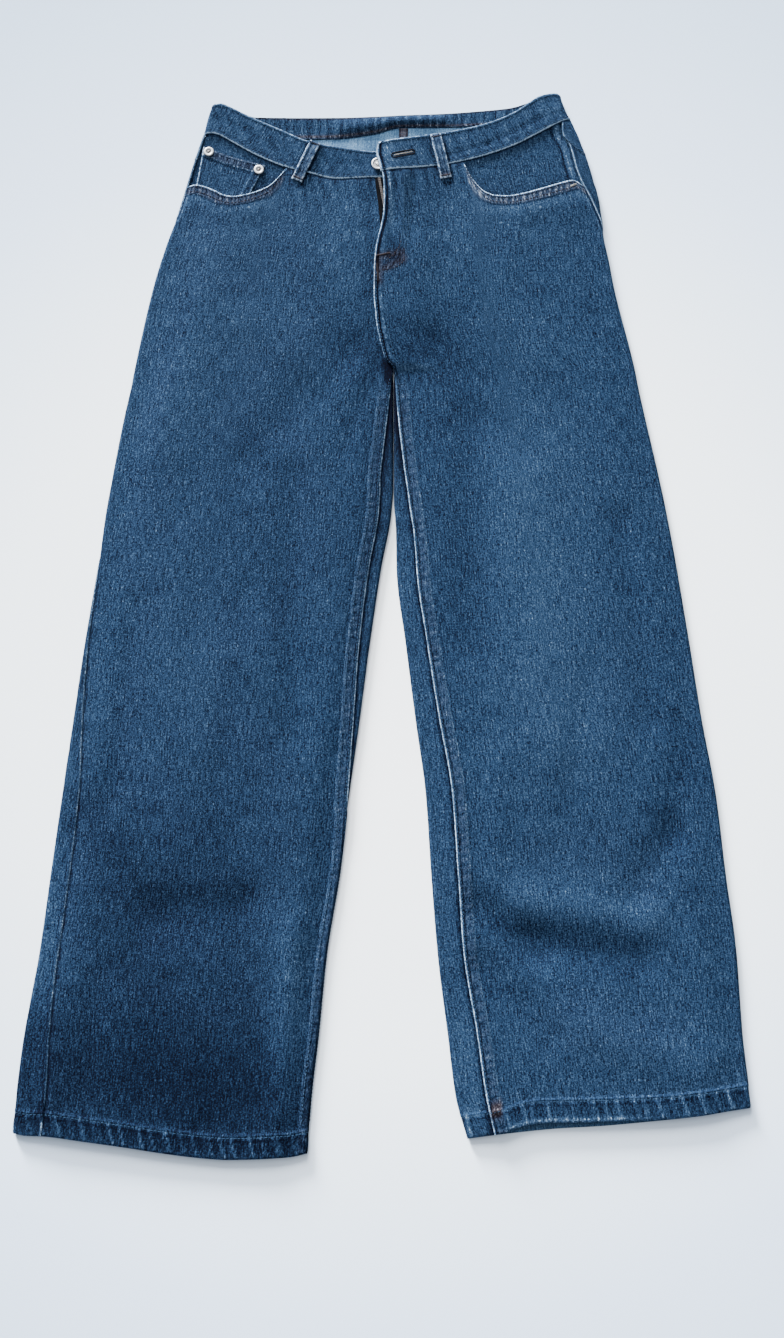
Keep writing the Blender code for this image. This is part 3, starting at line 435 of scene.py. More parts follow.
def lap_rise(leg, x, y):
    if leg.side == "right":
        return np.zeros(np.broadcast(x, y).shape)
    over_fly = ease((0.062 - x) / 0.040) * ease(y / 0.008)
    over_button = ease((0.030 - x) / 0.032) * ease((y - 0.170) / 0.060)
    return LAP_RISE * over_fly + BUTTON_RISE * over_button


def hem_rise(leg, x, y):
    return HEM_RISE * ease((leg.front_hem.read("level", x) + HEM_DEPTH + HEM_STEP - y) / HEM_STEP)


def pocket_bulk(x, y, from_outer):
    along = ease((y - 0.165) / 0.030) * ease((0.250 - y) / 0.018)
    across = ease(from_outer / 0.012) * ease((np.abs(x) - 0.120) / 0.030)
    return POCKET_BULK * along * across


def top_height(leg, x, y):
    """Height of the outer face of the top side."""
    from_outer = np.abs(x - leg.outer(y))
    inner_rim = ease(np.abs(x - leg.inner(y)) / INNER_RIM)
    rim = ease(from_outer / OUTER_RIM) * mix(inner_rim, 1.0, ease(y / 0.080))
    swell = rim * (THICKNESS.read("crown", y) + line_sum(FOLDS, x, y))
    height = 2 * fold_radius(y) + np.maximum(swell, DEEPEST_TROUGH) + pocket_bulk(x, y, from_outer)
    fine = line_sum(CREASES, x, y) * ease(from_outer / 0.020)
    return height + fine + lap_rise(leg, x, y) + hem_rise(leg, x, y)


def seat_rise(x, y):
    """Room under the seat for the back pockets and the rear belt loops."""
    to_pocket = np.minimum(*(np.abs(x - middle) for middle in BACK_POCKETS.values())) - BACK_POCKET_WIDTH / 2
    pocket = ease((BACK_RISE_MARGIN - to_pocket) / 0.014)
    pocket = pocket * ease((y - BACK_POCKET_LOW + 0.024) / 0.016) * ease((BACK_POCKET_HIGH + 0.020 - y) / 0.014)
    loops = ease((y - BACK_BAND.read("lower", x) + 0.028) / 0.014) * ease((0.165 - np.abs(x)) / 0.020)
    return BACK_RISE * np.maximum(pocket, loops)


def tube(leg, level, path, depth):
    """Place of a path along the flattened tube, depth under its outer face."""
    radius = fold_radius(level)
    quarter = quarter_path(level)
    over = over_path(leg, level)
    outer = leg.outer(level)
    width = np.abs(leg.inner(level) - outer)
    at_outer = np.abs(path) <= quarter
    on_fold = at_outer | (np.abs(path - over) <= quarter)
    turn = np.where(at_outer, path, over - path) / radius
    inset = radius - (radius - depth) * np.cos(turn)
    fold_x = outer + leg.inward * np.where(at_outer, inset, width - inset)
    fold_z = radius + (radius - depth) * np.sin(turn)
    fold_z = fold_z + hem_rise(leg, fold_x, level) * np.maximum(np.sin(turn), 0)
    fold_z = fold_z + np.where(at_outer, 0, lap_rise(leg, fold_x, level))
    on_top = (path > 0) & (path < over)
    top_x = outer + leg.inward * (radius + path - quarter)
    low_x = (outer
             + leg.inward * np.where(path < 0, radius - path - quarter, width - radius
                                     - (path - over - quarter)))
    flat_x = np.where(on_top, top_x, low_x)
    flat_z = np.where(on_top, top_height(leg, top_x, level) - depth, seat_rise(low_x, level) + depth)
    return np.where(on_fold, fold_x, flat_x), np.where(on_fold, fold_z, flat_z)


# Columns beside a seam, and rows beside a hem and a top edge, by their distance from it
EDGE = np.array([0, 0.4, 0.8, 1.3, 1.9, 2.7, 3.8, 5.5, 7.5, 9.2, 11.0, 12.3, 13.3, 14.2, 16.0]) * MM
BACK_EDGE = np.array([0, 0.4, 0.8, 1.3, 1.9, 2.8, 4.0]) * MM
HEM_ROWS = np.array([0, 0.5, 1.0, 1.7, 2.8, 4.6, 7, 9.5, 12, 14.5, 17, 18.7, 19.4, 20, 20.6, 21.4, 22.2, 23,
                     24, 26]) * MM
TOP_ROWS = np.array([18, 15.5, 13.5, 12.2, 11.3, 10.3, 9.2, 8.5, 7.6, 6.2, 4.6, 3.2, 2.4, 1.7, 1.1, 0.5,
                     0]) * MM
# How many columns and rows lie between those
FRONT_MIDDLE = 96
BACK_TURN = 12
BACK_MIDDLE = 44
BODY_ROWS = 232
FRONT_COUNT = 2 * len(EDGE) + FRONT_MIDDLE
BACK_SIDE = len(BACK_EDGE) + BACK_TURN
BACK_COUNT = 2 * BACK_SIDE + BACK_MIDDLE
UNDER_REACH = 0.008       # the columns beside a fold run on this far under it
FAR = 0.2                 # distance from a seam that stands for "not beside it"


def front_at(leg, level, depth=0.0):
    """Places of a front's columns at their levels, with their distances from both seams."""
    first = seam_path(leg, level, "outseam") + SEAM_GAP / 2
    last = over_path(leg, level) - seam_path(leg, level, "inseam") - SEAM_GAP / 2
    count = len(EDGE)
    shares = np.linspace(0, 1, FRONT_MIDDLE + 2)[1:-1, None]
    middle = slice(count, count + FRONT_MIDDLE)
    path = np.empty(level.shape)
    path[:count] = first[:count] + EDGE[:, None]
    path[middle] = mix(first[middle] + EDGE[-1], last[middle] - EDGE[-1], shares)
    path[-count:] = last[-count:] - EDGE[::-1, None]
    x, z = tube(leg, level, path, depth)
    radius, quarter = fold_radius(level), quarter_path(level)
    reach = quarter - radius + np.abs(leg.front_edge(level) - leg.outer(level))
    flat_path = mix(first, reach, (path - first) / (last - first))
    flat_x = leg.outer(level) + leg.inward * (radius + flat_path - quarter)
    flat_z = top_height(leg, flat_x, level) - depth
    opened = np.where((level > 0) & (flat_path > quarter), ease(level / CROTCH_OPENING), 0)
    return mix(x, flat_x, opened), mix(z, flat_z, opened), path - first, last - path


def back_block(leg, level, seam):
    """Distances from a seam of the back's columns that wrap the fold beside it."""
    first = seam_path(leg, level, seam) - SEAM_GAP / 2
    reach = first + quarter_path(level) + UNDER_REACH
    shares = np.linspace(0, 1, BACK_TURN + 1)[1:, None]
    away = np.empty(level.shape)
    away[:len(BACK_EDGE)] = BACK_EDGE[:, None]
    away[len(BACK_EDGE):] = mix(BACK_EDGE[-1], reach[len(BACK_EDGE):], shares)
    return first, away


def back_at(leg, level, depth=0.0):
    """Places of a back's columns at their levels, with their distances from both seams."""
    x, z = np.empty(level.shape), np.empty(level.shape)
    from_out, from_in = np.full(level.shape, FAR), np.full(level.shape, FAR)
    outer, inner = slice(0, BACK_SIDE), slice(BACK_COUNT - BACK_SIDE, BACK_COUNT)
    middle = slice(BACK_SIDE, BACK_COUNT - BACK_SIDE)
    rows = level[outer]
    first, away = back_block(leg, rows, "outseam")
    x[outer], z[outer] = tube(leg, rows, first - away, depth)
    from_out[outer] = away
    rows = level[inner][::-1]
    first, away = back_block(leg, rows, "inseam")
    side_x, side_z = tube(leg, rows, over_path(leg, rows) - first + away, depth)
    opened = ease(rows / CROTCH_OPENING)
    flat_x = leg.back_edge(rows) - leg.inward * away
    x[inner] = mix(side_x, flat_x, opened)[::-1]
    z[inner] = mix(side_z, seat_rise(flat_x, rows) + depth, opened)[::-1]
    from_in[inner] = away[::-1]
    rows = level[middle]
    radius = fold_radius(rows)
    start = leg.outer(rows) + leg.inward * (radius + UNDER_REACH)
    folded = leg.inner(rows) - leg.inward * (radius + UNDER_REACH)
    end = seam_path(leg, rows, "inseam") - SEAM_GAP / 2 + quarter_path(rows) + UNDER_REACH
    stop = mix(folded, leg.back_edge(rows) - leg.inward * end, ease(rows / CROTCH_OPENING))
    x[middle] = mix(start, stop, np.linspace(0, 1, BACK_MIDDLE + 2)[1:-1, None])
    z[middle] = seat_rise(x[middle], rows) + depth
    return x, z, from_out, from_in


def meet_edge(place, leg, edge, start):
    """Level where each column of a leg's panel meets an edge that depends on its place."""
    level = np.full((FRONT_COUNT if place is front_at else BACK_COUNT, 1), start)
    for _ in range(10):
        level = edge(leg, level, *place(leg, level)[:2])
    return level


def yoke_level(leg, level, x, z):
    inset = np.abs(x - leg.outer(level))
    return leg.yoke.read("level", np.where(z > fold_radius(level), inset, -inset))


def band_level(leg, level, x, z):
    floor = seat_rise(x, level)
    share = np.clip((z - floor) / (2 * fold_radius(level) - floor), 0, 1)
    return mix(BACK_BAND.read("lower", x), leg.band.read("lower", x), share)


def leg_levels(hem, top):
    """Rows of a leg panel: closer together beside the hem and the top edge."""
    body = np.linspace(0, 1, BODY_ROWS + 2)[None, 1:-1]
    return np.hstack((hem + HEM_ROWS, mix(hem + HEM_ROWS[-1], top - TOP_ROWS[0], body), top - TOP_ROWS))


def panel(place, leg, level):
    """A leg panel at its levels: places, distances from both seams, and both of its faces."""
    x, z, out, inn = place(leg, level)
    inner_x, inner_z = place(leg, level, WALL)[:2]
    return x, z, out, inn, grid(x, level, z), grid(inner_x, level, inner_z)


CENTRE = np.array((-0.0094, -0.2437, 0.0))    # middle of the footprint
grids = {}                # outer faces of the finished cloth: points and normals
stitches = {}             # by colour: starts, stops, normals and radius of each row


def new_object(name, data, *materials):
    for material in materials:
        data.materials.append(material)
    piece = bpy.data.objects.new(name, data)
    bpy.context.scene.collection.objects.link(piece)
    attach(piece, "root")
    return piece


def grid_quads(across, along):
    index = np.arange(across * along).reshape(across, along)
    quads = np.stack((index[:-1, :-1], index[1:, :-1], index[1:, 1:], index[:-1, 1:]), axis=-1)
    return index, quads.reshape(-1, 4)


def face_normals(outer, inner):
    """Unit normals of a grid of points, out of its outer face."""
    normal = np.cross(np.gradient(outer, axis=0), np.gradient(outer, axis=1))
    normal = normal / np.maximum(np.linalg.norm(normal, axis=2, keepdims=True), 1e-12)
    side = 1 if np.sum(normal * (outer - inner)) > 0 else -1
    return side * normal, side


def cloth(name, outer, inner, lift=0.0, tone=0.0, tint=0.0, inner_tone=0.0, inner_tint=0.0, materials=None,
          slot="denim"):
    """Closed piece of cloth between two grids of points, its outer face lifted along its normals."""
    across, along = outer.shape[:2]
    normals, side = face_normals(outer, inner)
    outer = outer + normals * np.broadcast_to(lift, (across, along))[..., None]
    grids[name] = (outer, normals)
    index, quads = grid_quads(across, along)
    rim = np.concatenate((index[:-1, 0], index[-1, :-1], index[:0:-1, -1], index[0, :0:-1]))
    after = np.roll(rim, -1)
    below = across * along
    walls = np.stack((after, rim, rim + below, after + below), axis=-1)
    faces = np.concatenate((quads, quads[:, ::-1] + below, walls))
    if side < 0:
        faces = faces[:, ::-1]
    points = np.concatenate((outer.reshape(-1, 3), inner.reshape(-1, 3))) - CENTRE
    data = bpy.data.meshes.new(name)
    data.from_pydata(points, [], faces.tolist())
    data.shade_smooth()
    data.set_sharp_from_angle(angle=math.radians(52))
    for label, front, back in (("tone", tone, inner_tone), ("tint", tint, inner_tint)):
        layer = data.attributes.new(label, "FLOAT", "POINT")
        values = [np.broadcast_to(value, (across, along)).ravel() for value in (front, back)]
        layer.data.foreach_set("value", np.concatenate(values).astype(np.float32))
    ways = np.concatenate((np.zeros((1, along)),
                           np.cumsum(np.linalg.norm(np.diff(outer, axis=0), axis=2), axis=0)))
    grain = np.stack((ways - ways[across // 2], outer[..., 1]), axis=-1).reshape(-1, 2)
    grain = np.concatenate((grain, grain))
    layer = data.uv_layers.new(name="grain")
    layer.data.foreach_set("uv", grain[faces.ravel()].astype(np.float32).ravel())
    materials = materials or (DENIM, WRONG_SIDE)
    piece = new_object(name, data, *materials)
    if len(materials) > 1:
        numbers = np.zeros(len(faces), dtype=np.int32)
        numbers[len(quads):2 * len(quads)] = 1
        data.polygons.foreach_set("material_index", numbers)
    return piece


def dress(node, *faces_and_looks, **settings):
    """The cloth that stands for a solid."""
    piece = cloth(f"{node}_cloth", *faces_and_looks, **settings)
    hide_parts(node)
    return piece


def way_along(points):
    return np.concatenate(([0], np.cumsum(np.linalg.norm(np.diff(points, axis=0), axis=1))))


def sew(colour, points, normals, length=STITCH, gap=STITCH_GAP, radius=THREAD):
    """A row of stitches along a line of points on the cloth."""
    way = way_along(points)
    count = int(way[-1] / (length + gap))
    if count < 1:
        return
    middles = (np.arange(count) + 0.5) * way[-1] / count

    def read(values, ways):
        return np.stack([np.interp(ways, way, values[:, k]) for k in range(3)], axis=1)

    half = length / 2
    row = (read(points, middles - half), read(points, middles + half), read(normals, middles), radius)
    stitches.setdefault(colour, []).append(row)


def sew_grid(colour, piece, place):
    """A row of stitches along a row or a column of a finished piece's grid."""
    points, normals = grids[piece.name]
    sew(colour, points[place], normals[place])


class Surface:
    """The outer face of a finished piece, to lay plan lines on from above or below."""

    def __init__(self, piece, below=False):
        points, _ = grids[piece.name]
        self.tree = BVHTree.FromPolygons(points.reshape(-1, 3).tolist(),
                                         grid_quads(*points.shape[:2])[1].tolist())
        self.up = -1.0 if below else 1.0

    def lay(self, line, step=0.001):
        """Points and normals of a plan line on the surface."""
        line = np.array(line, dtype=float)
        way = way_along(line)
        points, normals = [], []
        for place in np.linspace(0, way[-1], max(int(way[-1] / step), 2)):
            x, y = (np.interp(place, way, line[:, k]) for k in range(2))
            hit, normal, _, _ = self.tree.ray_cast(Vector((x, y, 0.1 * self.up)), Vector((0, 0, -self.up)))
            if hit is not None:
                points.append(hit)
                normals.append(normal if normal.z * self.up > 0 else -normal)
        return np.array(points), np.array(normals)

    def sew(self, colour, *line):
        points, normals = self.lay(line)
        if len(points) > 1:
            sew(colour, points, normals)

    def stitch(self, colour, start, stop, step, radius):
        points, normals = self.lay((start, stop), step)
        if len(points) > 1:
            stitches.setdefault(colour, []).append((points[:1], points[-1:], normals[:1], radius))

    def bartack(self, colour, start, stop, width):
        """Short dense stitches across a line between two plan points."""
        start, stop = np.array(start, dtype=float), np.array(stop, dtype=float)
        length = np.linalg.norm(stop - start)
        half = np.array((start[1] - stop[1], stop[0] - start[0])) / length * width / 2
        half = half + (stop - start) / length * 0.0003
        for share in np.linspace(0, 1, max(int(length / 0.00062), 2)):
            middle = mix(start, stop, share)
            self.stitch(colour, middle - half, middle + half, width / 4, 0.00034)


def add_stitches(name, colour, material):
    """One mesh of every stitch of a colour: small pillows whose ends dip into the cloth."""
    rows = stitches[colour]
    start, stop, normal = (np.concatenate([row[k] for row in rows]) for k in range(3))
    radius = np.concatenate([np.full(len(row[0]), row[3]) for row in rows])[:, None]
    along = stop - start
    way = along / np.maximum(np.linalg.norm(along, axis=1, keepdims=True), 1e-12)
    side = np.cross(normal, way)
    side = side / np.maximum(np.linalg.norm(side, axis=1, keepdims=True), 1e-12)
    up = np.cross(way, side)
    points = [start - up * radius * 0.5]
    for share, swell, height in ((0.14, 0.80, 0.25), (0.50, 1.00, 0.60), (0.86, 0.80, 0.25)):
        middle = start + along * share + up * radius * height
        for turn in np.arange(5) * 2 * math.pi / 5:
            points.append(middle + radius * swell * (side * math.cos(turn) + up * math.sin(turn)))
    points.append(stop - up * radius * 0.5)
    faces = []
    for k in range(5):
        after = (k + 1) % 5
        faces += [(0, 1 + after, 1 + k), (11 + k, 11 + after, 16)]
        faces += [(ring + k, ring + after, ring + 5 + after, ring + 5 + k) for ring in (1, 6)]
    points = np.stack(points, axis=1) - CENTRE
    every = [[17 * number + corner for corner in face] for number in range(len(points)) for face in faces]
    data = bpy.data.meshes.new(name)
    data.from_pydata(points.reshape(-1, 3), [], every)
    data.shade_smooth()
    new_object(name, data, material)


class Shader:
    """A material under construction. What a socket is given is a value or another socket."""

    def __init__(self, name, roughness, metallic=0.0, specular=0.5):
        self.material = bpy.data.materials.new(name)
        self.material.use_nodes = True
        self.tree = self.material.node_tree
        self.surface = self.tree.nodes["Principled BSDF"]
        self.fill(self.surface, {"Roughness": roughness, "Metallic": metallic, "Specular IOR Level": specular})

    def fill(self, node, values):
        for key, value in values.items():
            if isinstance(value, bpy.types.NodeSocket):
                self.tree.links.new(value, node.inputs[key])
            else:
                node.inputs[key].default_value = value
        return node

    def node(self, kind, values, **settings):
        made = self.tree.nodes.new("ShaderNode" + kind)
        for key, value in settings.items():
            setattr(made, key, value)
        return self.fill(made, values)

    def place(self, scale, grain=False, location=(0, 0, 0)):
        """Coordinates in metres times a scale: of the object, or of the cloth's grain."""
        source = self.node("UVMap", {}, uv_map="grain") if grain else self.node("TexCoord", {})
        where = source.outputs["UV" if grain else "Object"]
        return self.node("Mapping", {"Vector": where, "Scale": scale, "Location": location}).outputs["Vector"]

    def noise(self, where, detail=2.0, roughness=0.5):
        values = {"Vector": where, "Scale": 1.0, "Detail": detail, "Roughness": roughness}
        return self.node("TexNoise", values).outputs["Fac"]

    def waves(self, where, distortion=0.0):
        values = {"Vector": where, "Scale": 1.0, "Distortion": distortion, "Detail Scale": 1.5}
        return self.node("TexWave", values, bands_direction="DIAGONAL").outputs["Fac"]

    def math(self, operation, *values, **settings):
        return self.node("Math", dict(enumerate(values)), operation=operation, **settings).outputs[0]

    def sum(self, *terms):
        """Sum of values, each times its factor."""
        total = 0.0
        for value, factor in terms:
            total = self.math("MULTIPLY_ADD", value, factor, total)
        return total

    def value(self, name):
        return self.node("Attribute", {}, attribute_name=name).outputs["Fac"]

    def ramp(self, value, *stops):
        made = self.node("ValToRGB", {"Fac": value})
        elements = made.color_ramp.elements
        while len(elements) < len(stops):
            elements.new(0.5)
        for element, (place, colour) in zip(elements, stops):
            element.position, element.color = place, (*colour, 1.0)
        return made.outputs["Color"]

    def bumps(self, height, distance, strength):
        values = {"Height": height, "Distance": distance, "Strength": strength}
        return self.node("Bump", values).outputs["Normal"]

    def finish(self, colour, **others):
        self.fill(self.surface, {"Base Color": colour, **others})
        return self.material


def stops(*rows):
    """Places on a ramp with their colours, which are given in ten-thousandths."""
    return [(place, tuple(part / 10000 for part in colour)) for place, *colour in rows]


BLUES = stops(
    (0.00, 7, 9, 36), (0.14, 13, 28, 81), (0.26, 26, 56, 139), (0.38, 53, 127, 292), (0.50, 90, 214, 474),
    (0.62, 170, 347, 654), (0.74, 315, 565, 970), (0.84, 566, 897, 1397), (0.92, 1024, 1569, 2340),
    (1.00, 2289, 3211, 4431),
)
PALES = stops(
    (0.00, 12, 28, 85), (0.20, 51, 124, 306), (0.35, 166, 337, 684), (0.50, 425, 897, 1606),
    (0.65, 815, 1569, 2540), (0.85, 1711, 3011, 4375), (1.00, 2625, 3625, 4750),
)
BROWNS = stops(
    (0.10, 21, 17, 23), (0.32, 103, 80, 107), (0.50, 220, 192, 258), (0.64, 395, 354, 437),
    (0.78, 734, 692, 791), (0.95, 2366, 2347, 2514),
)
# Floor colours by distance from the middle, lightest there: a pool of light painted on the paper
PAPER_WITH_PAINTED_GLOW = stops(
    (0.30, 4200, 5350, 7000), (0.48, 5500, 6700, 8400), (0.68, 8400, 9100, 9700), (0.90, 9400, 9700, 10000),
)


def denim(name, blues, contrast):
    """Twill: pale weft flecks between dyed warp threads, faded and browned from place to place."""
    shader = Shader(name, roughness=0.95, specular=0.02)
    streaks = shader.noise(shader.place((700, 60, 700), True), 2, 0.6)
    slubs = shader.noise(shader.place((820, 330, 820), True), 2, 0.6)
    flecks = shader.noise(shader.place((720, 720, 720), True), 2, 0.65)
    clouds = shader.noise(shader.place((26, 15, 26), True), 3, 0.6)
    twill = shader.waves(shader.place((520, 640, 0), True), 1.2)
    grain = shader.sum((streaks, contrast * 0.8), (slubs, contrast), (flecks, contrast * 1.2),
                       (clouds, contrast * 0.12), (twill, contrast * 0.10), (shader.value("tone"), 1.0))
    level = shader.math("ADD", grain, 0.425 - contrast * 1.61)
    share = shader.math("MULTIPLY", shader.value("tint"), shader.math("ADD", flecks, 0.50), use_clamp=True)
    sides = {"Factor": share, "A": shader.ramp(level, *blues), "B": shader.ramp(level, *BROWNS)}
    colour = shader.node("Mix", sides, data_type="RGBA").outputs["Result"]
    weave = shader.sum((twill, 0.5), (streaks, 0.6), (slubs, 0.5))
    return shader.finish(colour, Normal=shader.bumps(weave, 0.00022, 0.35))


def thread(name, *colours):
    """Twisted thread, from its dark and its light colour."""
    shader = Shader(name, roughness=0.9, specular=0.05)
    wear = shader.noise(shader.place((260, 260, 260)))
    twist = shader.waves(shader.place((900, 900, 900)))
    level = shader.sum((wear, 0.9), (twist, 0.25))
    return shader.finish(shader.ramp(level, *stops(*colours)), Normal=shader.bumps(twist, 0.00008, 0.6))


def metal(name, colours, roughness, metallic):
    """Worn metal, darker in its grooves."""
    shader = Shader(name, roughness, metallic)
    stains = shader.noise(shader.place((900, 900, 900)), 3, 0.6)
    level = shader.sum((stains, 0.6), (shader.value("tone"), 1.0))
    pits = shader.noise(shader.place((2600, 2600, 2600)))
    return shader.finish(shader.ramp(level, *stops(*colours)), Normal=shader.bumps(pits, 0.00004, 0.4))


def woven_tape():
    shader = Shader("zip_tape", roughness=0.95, specular=0.02)
    weave = shader.waves(shader.place((800, 800, 0), True))
    # Nearly black: the tape's own dark colour with the shade of the fly's slit painted into it
    colour = shader.ramp(weave, *stops((0.2, 6, 6, 9), (0.9, 32, 34, 48)))
    return shader.finish(colour, Normal=shader.bumps(weave, 0.0001, 0.6))


DENIM = denim("denim", BLUES, 0.95)
WRONG_SIDE = denim("denim_wrong_side", PALES, 0.50)
THREADS = {
    "blue": thread("thread_blue", (0.40, 85, 190, 420), (0.72, 220, 480, 900)),
    "brown": thread("thread_brown", (0.40, 60, 48, 60), (0.72, 260, 195, 220)),
    "dark": thread("thread_dark", (0.40, 20, 18, 22), (0.72, 90, 80, 90)),
    "pale": thread("thread_pale", (0.40, 600, 580, 560), (0.72, 2000, 1950, 1800)),
}
SILVER = metal("worn_silver", ((0.0, 300, 300, 320), (0.6, 4600, 4700, 4800)), 0.42, 0.45)
BRASS = metal("brass", ((0.0, 60, 50, 50), (0.6, 600, 460, 400)), 0.55, 0.30)
TAPE = woven_tape()


def edge_roll(distance):
    """Relief beside an edge that is folded over its neighbour."""
    return hills(distance, (0.00042, 1.9, 1.8), (-0.00055, 0, 0.6))


def edge_sink(distance):
    """Relief beside an edge that lies under its neighbour's fold."""
    return hills(distance, (-0.00042, 0, 2.2))


def worn_line(distance, along, strength):
    """Tone of a rubbed fold: a pale line along the edge, not quite even."""
    uneven = 0.90 + 0.15 * wavy(along, 0.0061, 0.7)
    return strength * uneven * hills(distance, (1, 0.6, 0.78))


def grounded(lift, z):
    """Relief that stays out of what the underside lies on."""
    return np.where(z < 0.0009, np.minimum(lift, 0.0), lift)


def base_tone(x, y):
    """Tone of the dyed cloth: faded from place to place, with painted shade in some darker patches, paler on
    the ridges.
    """
    return line_sum(FADES_AND_PAINTED_SHADE, x, y) + FOLD_TONE * (line_sum(FOLDS, x, y) + line_sum(CREASES, x, y))


def hem_looks(along, up, seed, lit):
    """Relief and tone of a folded and twisted hem, up from its edge, which is rubbed where lit."""
    inside = ease((HEM_DEPTH - up) / 0.0012)
    slant = along + 0.30 * up
    rope, fine = wavy(slant, 0.0135, seed), wavy(slant, 0.0057, seed + 2)
    twist = inside * 0.00040 * rope * ease(up / 0.003) * ease((HEM_ROW + 0.0010 - up) / 0.004)
    lift = twist + hills(up, (-0.0003, 20, 0.9), (-0.0003, 0, 1)) + rope * hills(up, (0.00022, 29, 6))
    streak = np.clip(0.75 * rope + 0.35 * fine, 0, 1) ** 2
    tone = inside * (0.32 * streak - 0.105 + 0.03 * fine) * ease(up / 0.002)
    tone = tone + lit * hills(up, (0.50, 2.6, 2.2)) * beads(along, 0.0052, seed, 0.38)
    tone = tone + hills(up, (0.18, 20, 1.3)) * beads(along, 0.0048, seed + 1, 0.4)
    return lift, tone + hills(up, (-0.11, 16.8, 1.2)) + rope * hills(up, (0.03, 30, 7))


def felled_looks(away, y, strength):
    """Relief, tone and tint of the twice stitched band beside an inseam."""
    length = strength * ease(-(y - 0.006) / 0.050)
    pucker = wavy(y, 0.0088, 1.3)
    band = ease((FELLED_BAND + 0.0006 - away) / 0.0010)
    lift = length * (0.00050 * band + pucker * hills(away, (0.00014, 6.5, 4)))
    tone = band * (0.02 + pucker * hills(away, (0.13, 8, 4)))
    # Painted shade: dark lines along the first stitch row and just beyond the band's edge
    tone = length * (tone + hills(away, (0.17, 13, 0.9), (-0.12, 14.8, 1.1), (-0.12, 3, 1)))
    return lift, tone, length * band * ease((away - 0.0022) / 0.001) * (0.10 + 0.10 * pucker)


def pocket_looks(down, along, mask, seed):
    """Relief, tone and tint of the twice stitched turned edge of a pocket opening."""
    pucker = wavy(along, 0.0060, seed)
    spots = np.clip(pucker, -0.4, 1) * hill(down - 0.0060 - 0.0012 * wavy(along, 0.021, seed), 0.0042)
    band = ease((POCKET_BAND + 0.0006 - down) / 0.0012)
    lift = (band * (0.00042 + pucker * hills(down, (0.0002, 5.5, 3.5)))
            - hills(down, (0.00018, 2.2, 0.8), (0.00018, 8.5, 0.8)))
    # Painted shade: dark lines along the first stitch row and under the band's edge; painted highlight: the
    # pale band further below
    tone = (band * (0.24 * spots + 0.02 - hills(down, (0.12, 2.8, 1)))
            + hills(down, (0.09, 16, 5.5), (-0.09, 11.8, 1)))
    tint = band * (0.30 + 0.18 * pucker) * ease((down - 0.0020) / 0.001)
    return mask * lift, mask * tone, mask * tint


def loop_shade(x, y):
    """Tone of the shadowed line along both sides of a front belt loop."""
    return hills(nearest_line(x, y, LOOP_LINES.values()) - LOOP_WIDTH / 2, (-0.22, 1, 1.4))


def left_front_looks(x, level, inn, up, down, pocket):
    """What the left front has alone: the fly's ridges and tacks with painted shade beside the fly's edge, rust
    at the inseam's hem, and painted light on the slope where the lap rises over the crotch.
    """
    rust = hill(np.maximum(np.abs(x - 0.1015) - 0.0035, 0), 0.0020)
    rust = rust * hill(np.maximum(np.abs(up - 0.0225) - 0.004, 0), 0.004)
    fly = ease((level - 0.004) / 0.02)
    rubbed = fly * hill(nearest_line(x, level, TACK_LINES), 0.0042)
    lift = fly * hills(inn, (0.00022, 5.5, 2.2), (-0.0002, 11, 1.6))
    tone = 0.10 * rust * wavy(x + 1.7 * level, 0.0042, 1.0)
    tone = tone + pocket * ease((POCKET_BAND - down) / 0.002) * (0.08 + 0.12 * ease((0.112 - x) / 0.020))
    tone = (tone
            + rubbed * (0.34 * wavy(x + 0.6 * level, 0.0056, 1.0) * wavy(level - 0.5 * x, 0.0062, 2.0) - 0.03))
    # Painted shade: the dark line between the fly's pale edge and its stitched ridge
    tone = (tone
            + fly * (beads(level, 0.0042, 1.0, 0.4) * hills(inn, (0.5, 6.6, 1.5))
                     + hills(inn, (-0.34, 3.6, 1.4))))
    # Painted light: the slope where the lap rises over the crotch is lightened, as the lamps leave it in shade
    tone = tone + hills(level, (0.24, 4.5, 3.6)) * ease((0.062 - x) / 0.040) * ease((x - 0.004) / 0.004)
    return lift, tone, np.maximum(rust, 0.60 * rubbed)


